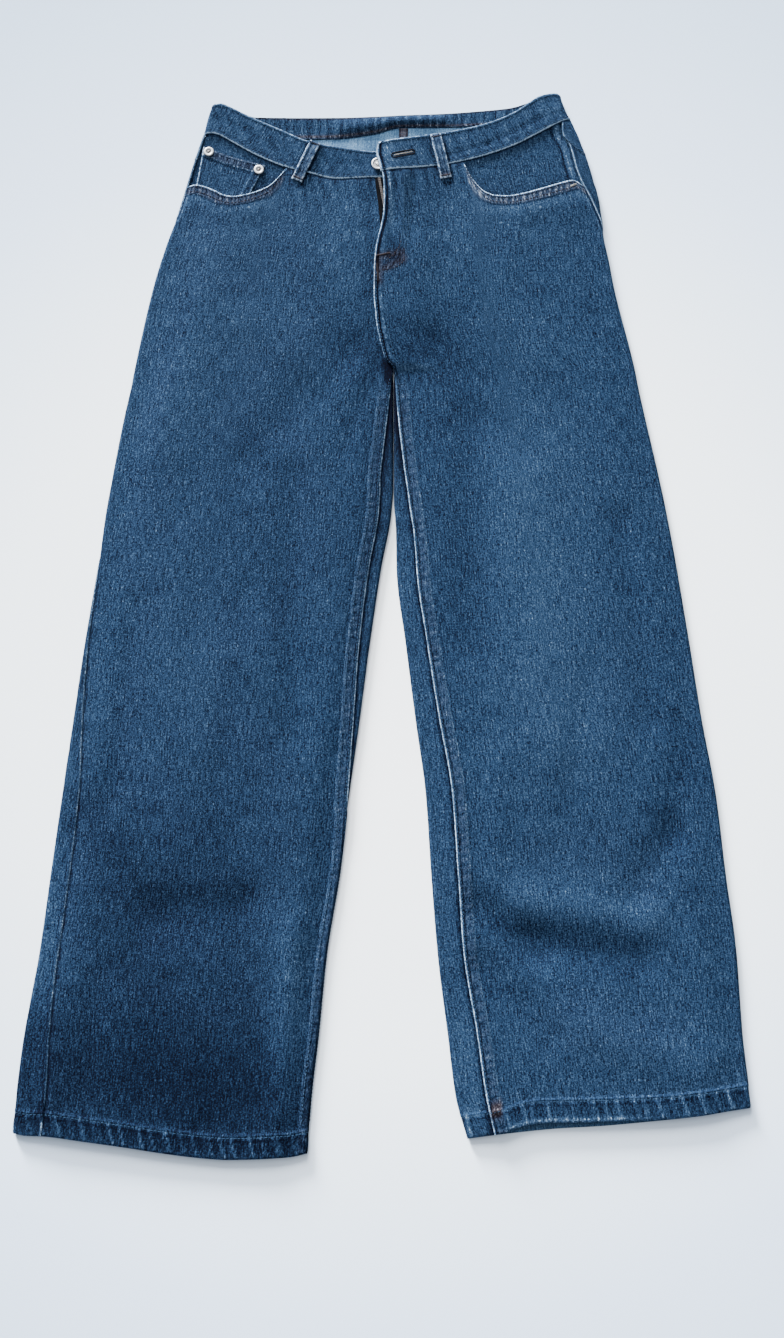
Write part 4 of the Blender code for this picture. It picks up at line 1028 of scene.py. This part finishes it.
def front_piece(leg):
    left = leg is LEFT
    hem = meet_edge(front_at, leg, lambda leg, level, x, z: leg.front_hem.read("level", x), -0.795)
    top = meet_edge(front_at, leg, lambda leg, level, x, z: leg.front_top(x), 0.220)
    level = leg_levels(hem, top)
    x, _, out, inn, outer, inner = panel(front_at, leg, level)
    slope = np.gradient(top[:, 0], x[:, -1])[:, None]
    down, up = (top - level) / np.sqrt(1 + slope ** 2), level - hem
    waist = leg.band.read("lower", x[:, -1:]) - leg.opening.read("level", x[:, -1:])
    pocket = ease((waist - BAND_SEAM_GAP) / 0.003) * ease((out[:, -1:] + 0.004) / 0.004)
    lit = 0.15 + 0.85 * ease((x - 0.108) / 0.010) * ease((0.262 - x) / 0.050) if left else 0.12
    looks = [(*hem_looks(x, up, 4.0 if left else 1.0, lit), 0.0),
             felled_looks(inn, level, 1.0 if left else 0.8),
             pocket_looks(down, x, pocket, 2.0)]
    if left:
        looks.append(left_front_looks(x, level, inn, up, down, pocket))
    lifts, tones, tints = zip(*looks)
    tint = np.max(np.broadcast_arrays(*tints), axis=0)
    lift = (sum(lifts) + edge_sink(out) + edge_roll(inn) + pocket * edge_roll(down)
            + (1 - pocket) * edge_sink(down))
    shaded = ease((0.008 - level) / 0.010) * ease((level + 0.056) / 0.040)
    # Painted shade: dark lines at the outseam's edge, beside the pale inseam edge and along the top edge under
    # the waistband; the pale inseam line is also dimmed where the crotch lies in shade
    tone = sum(tones) + hills(out, (0.16, 3.6, 1.2)) * ease(level / 0.05) + hills(out, (-0.24, 0, 2))
    tone = tone + worn_line(inn, level, 0.58) * (1 - 0.62 * shaded) + hills(inn, (-0.16, 3.2, 1.1))
    tone = (tone + pocket * worn_line(down, x, 0.50 if left else 0.60)
            + (1 - pocket) * hills(down, (-0.17, 0, 2.4)))
    # Painted light and shade: soft pale and dark streaks below the waistband stand in for small wrinkles
    tone = tone + (1 - pocket) * 0.075 * wavy(x + 0.2 * level, 0.0125, 1.0) * ease(1 - down / 0.050)
    tone = tone + base_tone(x, level) + loop_shade(x, level)
    turned_up = 0.02 * ease((HEM_DEPTH - up) / 0.001)
    piece = dress(f"front_{leg.side}", outer, inner, lift, tone, tint, turned_up)
    sew_grid("blue", piece, np.s_[:, nearest(HEM_ROWS, HEM_ROW)])
    corner = int(np.argmax(pocket[:, 0] < 0.5))
    for distance in TWIN_ROWS:
        row = level.shape[1] - len(TOP_ROWS) + nearest(TOP_ROWS, distance)
        sew_grid("brown", piece, np.s_[1:corner, row])
    crotch = nearest(level[-1], -0.004)
    for distance in (0.0027, 0.0110):
        column = FRONT_COUNT - 1 - nearest(EDGE, distance)
        sew_grid("blue", piece, np.s_[column, len(HEM_ROWS):crotch])
        if left:
            sew_grid("blue", piece, np.s_[column, crotch:nearest(level[-1], 0.118)])
    return piece


def back_piece(leg):
    left = leg is LEFT
    hem = meet_edge(back_at, leg, lambda leg, level, x, z: leg.hem.read("level", x), -0.795)
    top = meet_edge(back_at, leg, yoke_level, 0.240) - SEAM_GAP / 2
    level = leg_levels(hem, top)
    x, z, out, inn, outer, inner = panel(back_at, leg, level)
    up = level - hem
    lift, tone = hem_looks(x, up, 9.0 if left else 7.0, 0.15)
    lift = lift * (0.35 + 0.65 * ease((z - 0.0010) / 0.0030)) + edge_roll(out) + edge_sink(inn)
    # Painted shade: dark lines along the inseam's edge, beside the outseam's pale edge and under the yoke, and
    # a broad darkening beside the inseam near the crotch, between the legs
    tone = tone + base_tone(x, level) + hills(inn, (-0.28, 0, 2.4)) + hills(out, (-0.08, 3.6, 1.8))
    tone = (tone + hills(inn, (-0.30, 0, 14)) * ease((level + 0.170) / 0.140)
            + hills(top - level, (-0.10, 0, 1.8)))
    if left:
        lift = lift + 0.00040 * ease((level - 0.050) / 0.03) * ease((0.0125 - inn) / 0.001)
        tone = tone + worn_line(out, level, 0.52)
    else:
        gap = hills(up, (1, 24, 7))
        tone = tone + worn_line(out, level, 0.42) * (1 - gap) + gap * hills(out, (-0.10, 0, 12))
        tone = tone + ease((0.0190 - up) / 0.002) * hills(out, (0.25, 0.8, 1.1))
    turned_up = 0.02 * ease((HEM_DEPTH - up) / 0.001)
    piece = dress(f"back_{leg.side}", outer, inner, grounded(lift, z), tone, 0.0, turned_up)
    sew_grid("blue", piece, np.s_[:, nearest(HEM_ROWS, HEM_ROW)])
    return piece


def yoke_piece(leg):
    low = meet_edge(back_at, leg, yoke_level, 0.240) + SEAM_GAP / 2
    high = meet_edge(back_at, leg, band_level, 0.280) - BAND_SEAM_GAP
    rows = np.array([0, 0.012, 0.03, 0.055, 0.10, 0.17, 0.25, 0.35, 0.45, 0.55, 0.65, 0.75, 0.85, 0.93, 0.97,
                     1])
    level = mix(low, high, rows)
    x, z, out, _, outer, inner = panel(back_at, leg, level)
    lift = grounded(edge_roll(level - low) + edge_roll(out), z)
    tone = base_tone(x, level) + worn_line(level - low, x, 0.34) + worn_line(out, level, 0.40)
    # Painted shade under the waistband's edge
    tone = tone + hills(high - level, (-0.14, 0, 2.4))
    piece = dress(f"yoke_{leg.side}", outer, inner, lift, tone, 0.0, 0.05 * wavy(x, 0.031, 3.0) + 0.14)
    for row in (3, 5):
        sew_grid("blue", piece, np.s_[:, row])
    return piece


def band_front(leg, share, height, depth):
    end = RIGHT_BAND_END if leg is RIGHT else LEFT_BAND_END.read("x", height)
    x = mix(end, BAND_FOLDS.read(leg.side, height) + leg.inward * BAND_HEIGHT / 2, share)
    y = mix(leg.band.read("lower", x), leg.band.read("upper", x), height)
    return grid(x, y, BAND_HEIGHT + lap_rise(leg, x, y) + line_sum(BAND_CREASES, x, y) - depth)


def band_fold(leg, turn, height, depth):
    radius = BAND_HEIGHT / 2
    inset = radius - (radius - depth) * np.cos(turn)
    x = BAND_FOLDS.read(leg.side, height) + leg.inward * inset
    front = mix(leg.band.read("lower", x), leg.band.read("upper", x), height)
    back = mix(BACK_BAND.read("lower", x), BACK_BAND.read("upper", x), height)
    y = mix(back, front, (1 + np.sin(turn)) / 2)
    return grid(x, y, radius + (radius - depth) * np.sin(turn))


def band_back(share, height, depth):
    radius = BAND_HEIGHT / 2
    x = mix(BAND_FOLDS.read("right", height) + radius, BAND_FOLDS.read("left", height) - radius, share)
    y = mix(BACK_BAND.read("lower", x), BACK_BAND.read("upper", x), height)
    arch = BAND_ARCH * np.sin(math.pi * height) * ease((0.082 - np.abs(x)) / 0.045)
    return grid(x, y, seat_rise(x, y) + arch + depth)


def waistband_piece():
    """One strip from the hidden right end round the back to the lapping left end."""
    beside = np.array([0, 0.012, 0.026, 0.045, 0.070, 0.10, 0.14, 0.19, 0.25, 0.32, 0.40])
    height = np.concatenate((beside, [0.5], 1 - beside[::-1]))
    turns = np.linspace(math.pi / 2, -math.pi / 2, 11)[:, None]
    ends = np.concatenate((np.linspace(0, 0.03, 12)[:-1], np.linspace(0.03, 1, 90)))[:, None]
    middle = np.linspace(0, 1, 150)[1:-1, None]
    outer, inner = (np.concatenate((
        band_front(RIGHT, ends[:-1], height, depth), band_fold(RIGHT, turns, height, depth),
        band_back(middle, height, depth), band_fold(LEFT, turns[::-1], height, depth),
        band_front(LEFT, ends[::-1][1:], height, depth))) for depth in (0.0, BAND_WALL))
    x, y, z = (outer[..., k] for k in range(3))
    low, high = height * 0.036, (1 - height) * 0.036
    number = np.arange(len(x))[:, None]
    start = np.where(number < 60, np.abs(x - x[0]), 1.0)
    stop = np.where(number > len(x) - 60, np.abs(x - x[-1]), 1.0)
    lift = edge_roll(low) + 0.8 * edge_roll(high)
    for edge in (low, high):
        lift = lift + hills(edge, (-0.00016, 3, 0.8)) + wavy(x, 0.0085, 2.2) * hills(edge, (0.00013, 5.5, 4))
    # Painted shade: a dark line just above the lower stitch row
    tone = worn_line(low, x, 0.74) + worn_line(high, x, 0.40) + hills(low, (-0.12, 3.8, 1.4)) + 0.02
    # Painted light and shade: soft diagonal pale and dark patches stand in for the band's puckers
    tone = (tone + wavy(x + 0.4 * y, 0.017, 1.1) * hills(low, (0.055, 18, 16))
            + BAND_FOLD_TONE * line_sum(BAND_CREASES, x, y))
    # Painted shadow: the dark line between the lapping end's pale edge and the button
    tone = (tone + hills(stop, (0.50, 1, 1.5), (-0.66, 4.3, 1.3), (0.09, 10.5, 5))
            + hills(start, (-0.05, 0, 1.5)))
    mottled = ease((0.05 - stop) / 0.02) + wavy(x + 0.8 * y, 0.0085, 1.0) * wavy(y, 0.0095, 2.0)
    tone = tone + loop_shade(x, y) + np.where(stop < 0.05, 0.07 * mottled, 0)
    back_side = ease((number - 110) / 6) * ease((len(x) - 110 - number) / 6)
    inner_x = inner[..., 0]
    # Painted light and shade: pale and dark streaks on the back band's inside stand in for its upright puckers
    streaks = 0.12 * wavy(inner_x, 0.0115, 5.0) + 0.07 * wavy(inner_x, 0.0047, 1.0)
    edge, seam = hills(high, (1, 0, 2.4)), hills(low, (1, 3.5, 2.6))
    inner_tone = streaks * (1 - edge) * 0.75 - 0.22 * edge + seam * (0.12 + 0.14 * wavy(inner_x, 0.0062, 2.0))
    inner_tint = back_side * np.maximum(edge, 0.75 * seam)
    piece = dress("waistband", outer, inner, grounded(lift, z), tone, 0.0, inner_tone, inner_tint,
                  materials=(DENIM,))
    inside = np.s_[112:-112, nearest(height, 0.12)]
    sew("brown", inner[inside], -face_normals(outer, inner)[0][inside], length=0.0020, gap=0.0036,
        radius=0.00045)
    for share in (0.085, 0.915):
        sew_grid("blue", piece, np.s_[:, nearest(height, share)])
    return piece


def facing_piece(leg):
    """The facing behind a front pocket's opening."""
    far = -0.098 if leg is RIGHT else 0.064
    share = np.concatenate((np.linspace(0, 0.12, 22)[:-1], np.linspace(0.12, 1, 60)))[:, None]
    row = np.linspace(0, 1, 46)[None, :]
    x = np.full((len(share), 46), far)
    for _ in range(8):
        high = leg.band.read("lower", x) - BAND_SEAM_GAP
        y = mix(leg.front_top(x) - FACING_REACH, high, row)
        side_x = leg.outer(y) + leg.inward * (leg.outline.read("outseam", y) + SEAM_GAP)
        x = mix(side_x, far, share)
    outer = grid(x, y, FACING_HEIGHT)
    side = np.abs(x - side_x)
    # Painted shade: darker where the facing goes under the front's opening, under the waistband and at the side
    # fold
    tone = hills(y - leg.front_top(x), (-0.10, 0, 6)) + hills(high - y, (-0.16, 0, 2), (0.05, 6, 6))
    tone = tone + hills(side, (-0.10, 0, 2))
    if leg is LEFT:
        # Painted light and shade of a crease: a dark line with a paler band beside it
        crease = line_distance(x, y, 0.092, 0.2440, 0.119, 0.2425)
        tone = (tone + hills(side, (0.20, 6, 2.8), (-0.26, 11.2, 1.5))
                + hills(crease, (0.05, 4, 4), (-0.10, 0, 1.6)))
    lift = 0.0013 * ease(1 - (high - y) / 0.0100) * ease((side - 0.0005) / 0.003)
    return dress(f"pocket_facing_{leg.side}", outer, outer - (0, 0, WALL), lift, tone)


def coin_pocket_piece():
    share = np.linspace(0, 1, 90)[:, None]
    row = np.linspace(0, 1, 84)[None, :]
    foot_x = mix(*COIN_POCKET_FEET, share)
    top_x, top_y = COIN_POCKET.read("x", share), COIN_POCKET.read("top", share)
    x, y = mix(foot_x, top_x, row), mix(COIN_POCKET_FOOT, top_y, row)
    outer = grid(x, y, FACING_HEIGHT + LAYER_GAP + PATCH_WALL)
    down = (1 - row) * (top_y - COIN_POCKET_FOOT)
    left, right = x - mix(foot_x[0], top_x[0], row), mix(foot_x[-1], top_x[-1], row) - x
    pucker = wavy(x, 0.0068, 0.4)
    lift = (0.00030 * ease((0.0112 - down) / 0.001) + pucker * hills(down, (0.00018, 5.5, 3))
            + hills(left, (-0.0003, 0, 0.6)))
    lift = lift + hills(right, (0.0003, 1.5, 1.5), (-0.0003, 0, 0.6), (0.00025, 8.5, 1.2))
    tone = worn_line(left, y, 0.58) + worn_line(right, y, 0.46) + worn_line(down, x, 0.24)
    # Painted shade: dark lines inside both side edges
    tone = tone + hills(left, (-0.14, 3, 1.2)) + hills(right, (0.20, 8.5, 1.2), (-0.12, 4.8, 2))
    tone = (tone + pucker * hills(down, (0.12, 5, 3.5))
            + beads(x, 0.0047, 1.0, 0.3) * hills(down, (0.30, 9.4, 1.1)))
    # Painted shade under the fold of the turned top edge
    tone = tone + hills(down, (-0.13, 11.8, 1.4))
    tint = 0.25 * ease((0.0100 - down) / 0.001)
    piece = dress("coin_pocket", outer, outer - (0, 0, PATCH_WALL), lift, tone, tint)
    for distance in (0.0022, 0.0095):
        sew_grid("blue", piece, np.s_[3:-3, nearest((1 - row[0]) * 0.062, distance)])
    return piece


def loop_piece(leg):
    """Front belt loop, bowed up off the waistband between its two tacked ends."""
    upper, lower = np.array(LOOP_LINES[leg.side])
    length = math.hypot(*(upper - lower))
    way = (upper - lower) / length
    aside = np.array((way[1], -way[0])) * LOOP_WIDTH / 2
    side = np.concatenate(([-1, -0.96, -0.90], np.linspace(-0.8, 0.8, 13), [0.90, 0.96, 1]))[:, None]
    share = np.concatenate(([0, 0.01, 0.025], np.linspace(0.05, 0.95, 40), [0.975, 0.99, 1]))[None, :]
    x, y = (mix(lower[k], upper[k], share) + side * aside[k] for k in range(2))
    under = np.maximum(BAND_HEIGHT + lap_rise(leg, x, y), top_height(leg, x, y))
    under = np.maximum(under, under.max(axis=0, keepdims=True) - 0.0006)
    inner = grid(x, y, under + LAYER_GAP + LOOP_BULGE * np.sin(math.pi * share))
    from_side, from_foot = (1 - np.abs(side)) * LOOP_WIDTH / 2, share * length
    from_end = np.minimum(from_foot, length - from_foot)
    lift = (hills(from_side, (0.00035, 1.6, 1.2), (-0.0006, 0, 0.5), (-0.00025, 5, 1.2))
            + hills(from_end, (-0.0005, 0, 0.6)))
    tone = hills(from_side, (0.36, 1.1, 1), (-0.14, 3.4, 1.1)) + 0.12 + 0.08 * wavy(y, 0.011, 2.0)
    tone = tone + hills(from_end, (0.12, 0, 2)) + hills(from_foot, (0.22, 1.2, 1.4))
    tint = 0.12 + hills(from_foot, (0.5, 3.5, 2))
    piece = dress(f"belt_loop_front_{leg.side}", inner + (0, 0, LOOP_WALL), inner, lift, tone, tint)
    for column in (5, -6):
        sew_grid("blue", piece, np.s_[column, 2:-2])
    surface = Surface(piece)
    for middle in (lower + way * 0.0030, upper - way * 0.0028):
        surface.bartack("brown", middle - aside * 0.84, middle + aside * 0.84, 0.0022)
    return piece


def rear_loop_piece(place, middle):
    low, high = BACK_BAND.read("lower", middle) - REAR_LOOP_FOOT, BACK_BAND.read("upper", middle) - 0.001
    side = np.linspace(-1, 1, 15)[:, None]
    y = mix(low, high, np.linspace(0, 1, 30)[None, :])
    outer = grid(middle + side * LOOP_WIDTH / 2, y, 0.0)
    tone = worn_line((1 - np.abs(side)) * LOOP_WIDTH / 2, y, 0.26) + 0.05
    return dress(f"belt_loop_rear_{place}", outer, outer + (0, 0, REAR_LOOP_WALL), 0.0, tone)


def back_pocket_piece(side, middle):
    """Plain patch under the seat, its lower edge coming to a point."""
    half, taper = BACK_POCKET_WIDTH / 2, BACK_POCKET_WIDTH / 2 * BACK_POCKET_TAPER
    shoulder = BACK_POCKET_LOW + BACK_POCKET_POINT
    across = np.linspace(-1, 1, 61)[:, None]
    low = BACK_POCKET_LOW + BACK_POCKET_POINT * np.abs(across)
    y = mix(low, BACK_POCKET_HIGH, np.linspace(0, 1, 60)[None, :])
    x = middle + across * mix(taper, half, np.clip((y - shoulder) / (BACK_POCKET_HIGH - shoulder), 0, 1))
    outer = grid(x, y, 0.0)
    from_top, from_side = BACK_POCKET_HIGH - y, half - np.abs(x - middle)
    tone = worn_line(from_top, x, 0.24) + worn_line(from_side, y, 0.22) + worn_line(y - low, x, 0.22)
    tone = tone + 0.03 * wavy(x, 0.02, 1.0) + hills(from_top, (0.05, 10, 4))
    return dress(f"back_pocket_{side}", outer, outer + (0, 0, PATCH_WALL), 0.0, tone)


def zip_piece():
    """The strip of zip tape in the open fly."""
    y = np.linspace(*TAPE_ENDS, 70)[None, :]
    x = mix(TAPE_EDGE.read("x", y), TAPE_HIDDEN_SIDE, np.linspace(0, 1, 20)[:, None])
    inner = grid(x, y, top_height(RIGHT, x, y) + LAYER_GAP)
    ribs = 0.00006 * np.sin(x * 2 * math.pi / 0.0012)
    return dress("zip_tape", inner + (0, 0, TAPE_WALL), inner, ribs, materials=(TAPE,), slot="zip_tape")


def centre_back_strip():
    """The felled centre back seam, seen on the wrong side between front and back."""
    across = np.linspace(-1, 1, 13)[:, None]
    y = np.linspace(0.2460, 0.2904, 44)[None, :]
    x = CENTRE_BACK.read("x", y) + 0.0012 + across * 0.0050
    inner = grid(x, y, seat_rise(x, y) + WALL + 0.0001)
    from_side = (1 - np.abs(across)) * 0.0052
    lift = hills(from_side, (-0.0003, 0, 0.6)) + 0.00012 * wavy(y, 0.004, 1.0)
    tone = 0.16 + 0.06 * wavy(y, 0.0075, 2.0) + hills(from_side, (-0.30, 1.2, 1))
    return cloth("centre_back_felled_seam", inner + (0, 0, 0.0009), inner, lift, tone, 0.95,
                 materials=(WRONG_SIDE,))


def solid(name, points, faces, material, tone=0.0):
    """Metal piece, with its tone from point to point."""
    data = bpy.data.meshes.new(name)
    data.from_pydata((np.array(points) - CENTRE).tolist(), [], faces)
    layer = data.attributes.new("tone", "FLOAT", "POINT")
    layer.data.foreach_set("value", np.broadcast_to(tone, len(points)).astype(np.float32))
    piece = new_object(name, data, material)
    return piece


def ring_faces(base, rings, steps):
    """Faces round rings of points, one under the other, closed at both ends."""
    faces = []
    for low in range(base, base + (rings - 1) * steps, steps):
        for k in range(steps):
            after = (k + 1) % steps
            faces.append((low + k, low + steps + k, low + steps + after, low + after))
    last = base + rings * steps
    return faces + [tuple(range(base, base + steps)), tuple(range(last - 1, last - steps - 1, -1))]


def zip_teeth():
    """Small bevelled blocks along the open side of the fly, from rings of height and half sides."""
    points, faces = [], []
    rings = ((0.0012, 0.0012, 0.00050), (0.0009, 0.0015, 0.00075), (0.0, 0.0015, 0.00075))
    for level in np.arange(0.1850, 0.2270, 0.0021):
        x = -0.0096 - 0.0046 * (level - 0.2014) / 0.0266
        z = float(top_height(RIGHT, np.array(x), np.array(level))) + LAYER_GAP + TAPE_WALL
        faces += ring_faces(len(points), len(rings), 4)
        for height, half_x, half_y in rings:
            for side_x, side_y in ((-1, -1), (1, -1), (1, 1), (-1, 1)):
                points.append((x + side_x * half_x, level + side_y * half_y, z + height))
    solid("zip_teeth", points, faces, BRASS)


def turned(name, profile, place, base, material, steps=64):
    """Round piece turned from rows of radius and height in millimetres, and tone."""
    rows = np.array(profile) * (MM, MM, 1.0)
    turns = np.arange(steps) * 2 * math.pi / steps
    radius, height = rows[:, :1], rows[:, 1:2]
    points = grid(place[0] + radius * np.cos(turns), place[1] + radius * np.sin(turns), base
                  + height).reshape(-1, 3)
    piece = solid(name, points, ring_faces(0, len(rows), steps), material, np.repeat(rows[:, 2], steps))
    piece.data.shade_smooth()
    piece.data.set_sharp_from_angle(angle=math.radians(35))
    return piece


BUTTON_PROFILE = (
    (0.6, 2.5, 0.10), (1.6, 2.6, 0.10), (2.2, 2.2, -0.25), (4.0, 2.2, 0.05), (4.6, 2.2, -0.25), (5.3, 2.7,
                                                                                                 0.25),
    (6.0, 3.0, 0.35), (6.7, 2.8, 0.35), (7.1, 2.2, 0.10), (6.9, 1.6, -0.20), (5.8, 1.4, -0.30), (3.6, 1.3,
                                                                                                 -0.30),
    (3.4, 0.0, -0.30), (0.6, 0.0, -0.30),
)
RIVET_PROFILE = (
    (0.3, 0.9, 0.00), (1.4, 0.8, -0.30), (2.0, 0.6, -0.35), (2.7, 0.7, -0.20), (3.2, 1.1, 0.25), (4.0, 1.3,
                                                                                                  0.35),
    (4.7, 1.2, 0.35), (5.2, 0.9, 0.15), (5.5, 0.4, -0.20), (5.5, 0.0, -0.30), (0.3, 0.0, -0.30),
)
RIVET_CENTRE = ((0.2, 1.50, 0.40), (0.8, 1.45, 0.30), (1.2, 1.25, 0.05), (1.3, 1.00, -0.20), (0.2, 1.00, 0.00))


def buttonhole(surface):
    """Dark purl stitches round a worn slit in the lapping end of the waistband."""
    middle, lean = np.array((0.0123, 0.2556)), math.radians(16)
    way, side = np.array((math.cos(lean), math.sin(lean))), np.array((-math.sin(lean), math.cos(lean)))
    half, wide = 0.0105, 0.0021
    for sign in (-1, 1):
        for along in np.arange(-half, half, 0.00060):
            start = middle + way * along + side * sign * wide * 0.8
            surface.stitch("dark", start, start + side * sign * 0.0017, 0.0006, 0.00042)
    for turn in np.radians(np.linspace(-80, 80, 11)):
        for sign in (-1, 1):
            out = way * sign * math.cos(turn) + side * math.sin(turn)
            start = middle + way * sign * half + out * wide * 0.9
            surface.stitch("dark", start, start + out * 0.0015, 0.0006, 0.00042)
    for along in np.arange(-half, half, 0.0007):
        start = middle + way * along + side * (0.0004 * math.sin(along * 5100) - 0.0006)
        surface.stitch("pale", start, start + side * 0.0011 + way * 0.0007, 0.0005, 0.00050)


fronts = {leg.side: front_piece(leg) for leg in (RIGHT, LEFT)}
backs = {leg.side: back_piece(leg) for leg in (RIGHT, LEFT)}
yokes = {leg.side: yoke_piece(leg) for leg in (RIGHT, LEFT)}
band = waistband_piece()
facings = {leg.side: facing_piece(leg) for leg in (RIGHT, LEFT)}
coin = coin_pocket_piece()
tape = zip_piece()
loops = [loop_piece(leg) for leg in (RIGHT, LEFT)]
rear_loops = [rear_loop_piece(place, middle) for place, middle in REAR_LOOPS.items()]
pockets = {side: back_pocket_piece(side, middle) for side, middle in BACK_POCKETS.items()}
strip = centre_back_strip()
zip_teeth()
button = turned("button_turned", BUTTON_PROFILE, BUTTON_PLACE, BAND_HEIGHT + LAYER_GAP, SILVER)
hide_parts("button")
for number, place in enumerate(RIVET_PLACES, start=1):
    rivet = turned(f"rivet_{number}_turned", RIVET_PROFILE, place, RIVET_BASE, SILVER)
    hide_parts(f"rivet_{number}")
    turned(f"rivet_{number}_centre", RIVET_CENTRE, place, RIVET_BASE - 0.0004, BRASS, steps=24)

# Sewing that crosses a panel: the fly, the tacks, the back pockets and the centre back
fly = Surface(fronts["left"])
fly.sew("blue", (0.0190, 0.2320), (0.0180, 0.1750), (0.0150, 0.1520), (0.0130, 0.1415))
fly.sew("blue", (0.0138, 0.2320), (0.0128, 0.1750), (0.0100, 0.1520))
fly.sew("brown", (0.0130, 0.1415), (0.0130, 0.1272), (0.0065, 0.1213), (-0.0022, 0.1178), (-0.0150, 0.1160))
fly.sew("brown", (0.0100, 0.1520), (0.0080, 0.1440), (0.0010, 0.1340), (-0.0065, 0.1272))
fly.bartack("brown", (-0.0168, 0.1332), (-0.0022, 0.1367), 0.0026)
fly.bartack("brown", (-0.0160, 0.1240), (-0.0151, 0.1040), 0.0026)
fly.bartack("pale", (0.1955, 0.2178), (0.2015, 0.2200), 0.0028)
fly.bartack("brown", (0.0975, -0.7745), (0.1050, -0.7730), 0.0034)
buttonhole(Surface(band))
for side, middle in BACK_POCKETS.items():
    patch = Surface(pockets[side], below=True)
    half = BACK_POCKET_WIDTH / 2
    for inset in TWIN_ROWS:
        shoulder = BACK_POCKET_LOW + BACK_POCKET_POINT + inset * 0.4
        upper, taper = half - inset, half * BACK_POCKET_TAPER - inset
        patch.sew("blue", (middle - upper, BACK_POCKET_HIGH - 0.001), (middle - taper, shoulder),
                  (middle, BACK_POCKET_LOW + inset * 1.1), (middle + taper, shoulder),
                  (middle + upper, BACK_POCKET_HIGH - 0.001))
    for down in (0.0022, 0.0120):
        patch.sew("blue", (middle - half + 0.003, BACK_POCKET_HIGH - down),
                  (middle + half - 0.003, BACK_POCKET_HIGH - down))
    for corner in (middle - half + 0.005, middle + half - 0.005):
        patch.bartack("brown", (corner - 0.004, BACK_POCKET_HIGH - 0.005),
                      (corner + 0.004, BACK_POCKET_HIGH - 0.005), 0.0024)
seat = Surface(backs["left"], below=True)
for offset in (0.0027, 0.0100):
    seat.sew("blue",
             *((float(LEFT.back_edge(level)) + offset, level) for level in np.linspace(0.060, 0.235, 30)))
for colour, material in THREADS.items():
    add_stitches(f"topstitching_{colour}", colour, material)

# Stage: pale paper, with a pool of light painted into its colour round the middle
floor_data = bpy.data.meshes.new("floor")
floor_data.from_pydata([(-4, -4, -0.0002), (4, -4, -0.0002), (4, 4, -0.0002), (-4, 4, -0.0002)], [],
                       [(0, 1, 2, 3)])
floor = bpy.data.objects.new("floor", floor_data)
bpy.context.scene.collection.objects.link(floor)
paper = Shader("pale_floor_with_painted_glow", roughness=0.95, specular=0.1)
painted_glow = {"Vector": paper.place((0.80, 0.80, 0.80), location=(-0.0075, 0.067, 0.0))}
painted_glow = paper.node("TexGradient", painted_glow, gradient_type="SPHERICAL").outputs["Fac"]
floor_data.materials.append(paper.finish(paper.ramp(painted_glow, *PAPER_WITH_PAINTED_GLOW)))

world = bpy.data.worlds.new("studio")
bpy.context.scene.world = world
world.use_nodes = True
world.node_tree.nodes["Background"].inputs["Color"].default_value = (0.806952, 0.871367, 0.955973, 1.0)
world.node_tree.nodes["Background"].inputs["Strength"].default_value = 0.55


def add_light(name, kind, place, power, **settings):
    data = bpy.data.lights.new(name, kind)
    data.energy = power
    data.color = (0.97, 0.985, 1.0)
    for key, value in settings.items():
        setattr(data, key, value)
    light = bpy.data.objects.new(name, data)
    light.location = place
    light.rotation_euler = (-Vector(place)).to_track_quat("-Z", "Y").to_euler()
    bpy.context.scene.collection.objects.link(light)


# A low light from above the waistband, a wide one over it, and a broad one overhead
add_light("low_light", "SUN", (-0.45, 1.00, 0.235), 34.0, angle=math.radians(14))
add_light("high_light", "SUN", (-0.35, 1.00, 0.75), 7.0, angle=math.radians(30))
add_light("overhead", "AREA", (0.05, 0.0, 2.6), 34, shape="RECTANGLE", size=2.2, size_y=2.2)

# The photograph's camera: tilted 15 degrees from straight down
TILT = math.radians(15)
REACH = 2.146
AIM = np.array((0.0, -0.327, 0.0)) - CENTRE
camera_data = bpy.data.cameras.new("camera")
camera_data.lens = 56.07
camera = bpy.data.objects.new("camera", camera_data)
camera.location = AIM + REACH * np.array((0, -math.sin(TILT), math.cos(TILT)))
camera.rotation_euler = (TILT, 0, 0)
bpy.context.scene.collection.objects.link(camera)
bpy.context.scene.camera = camera
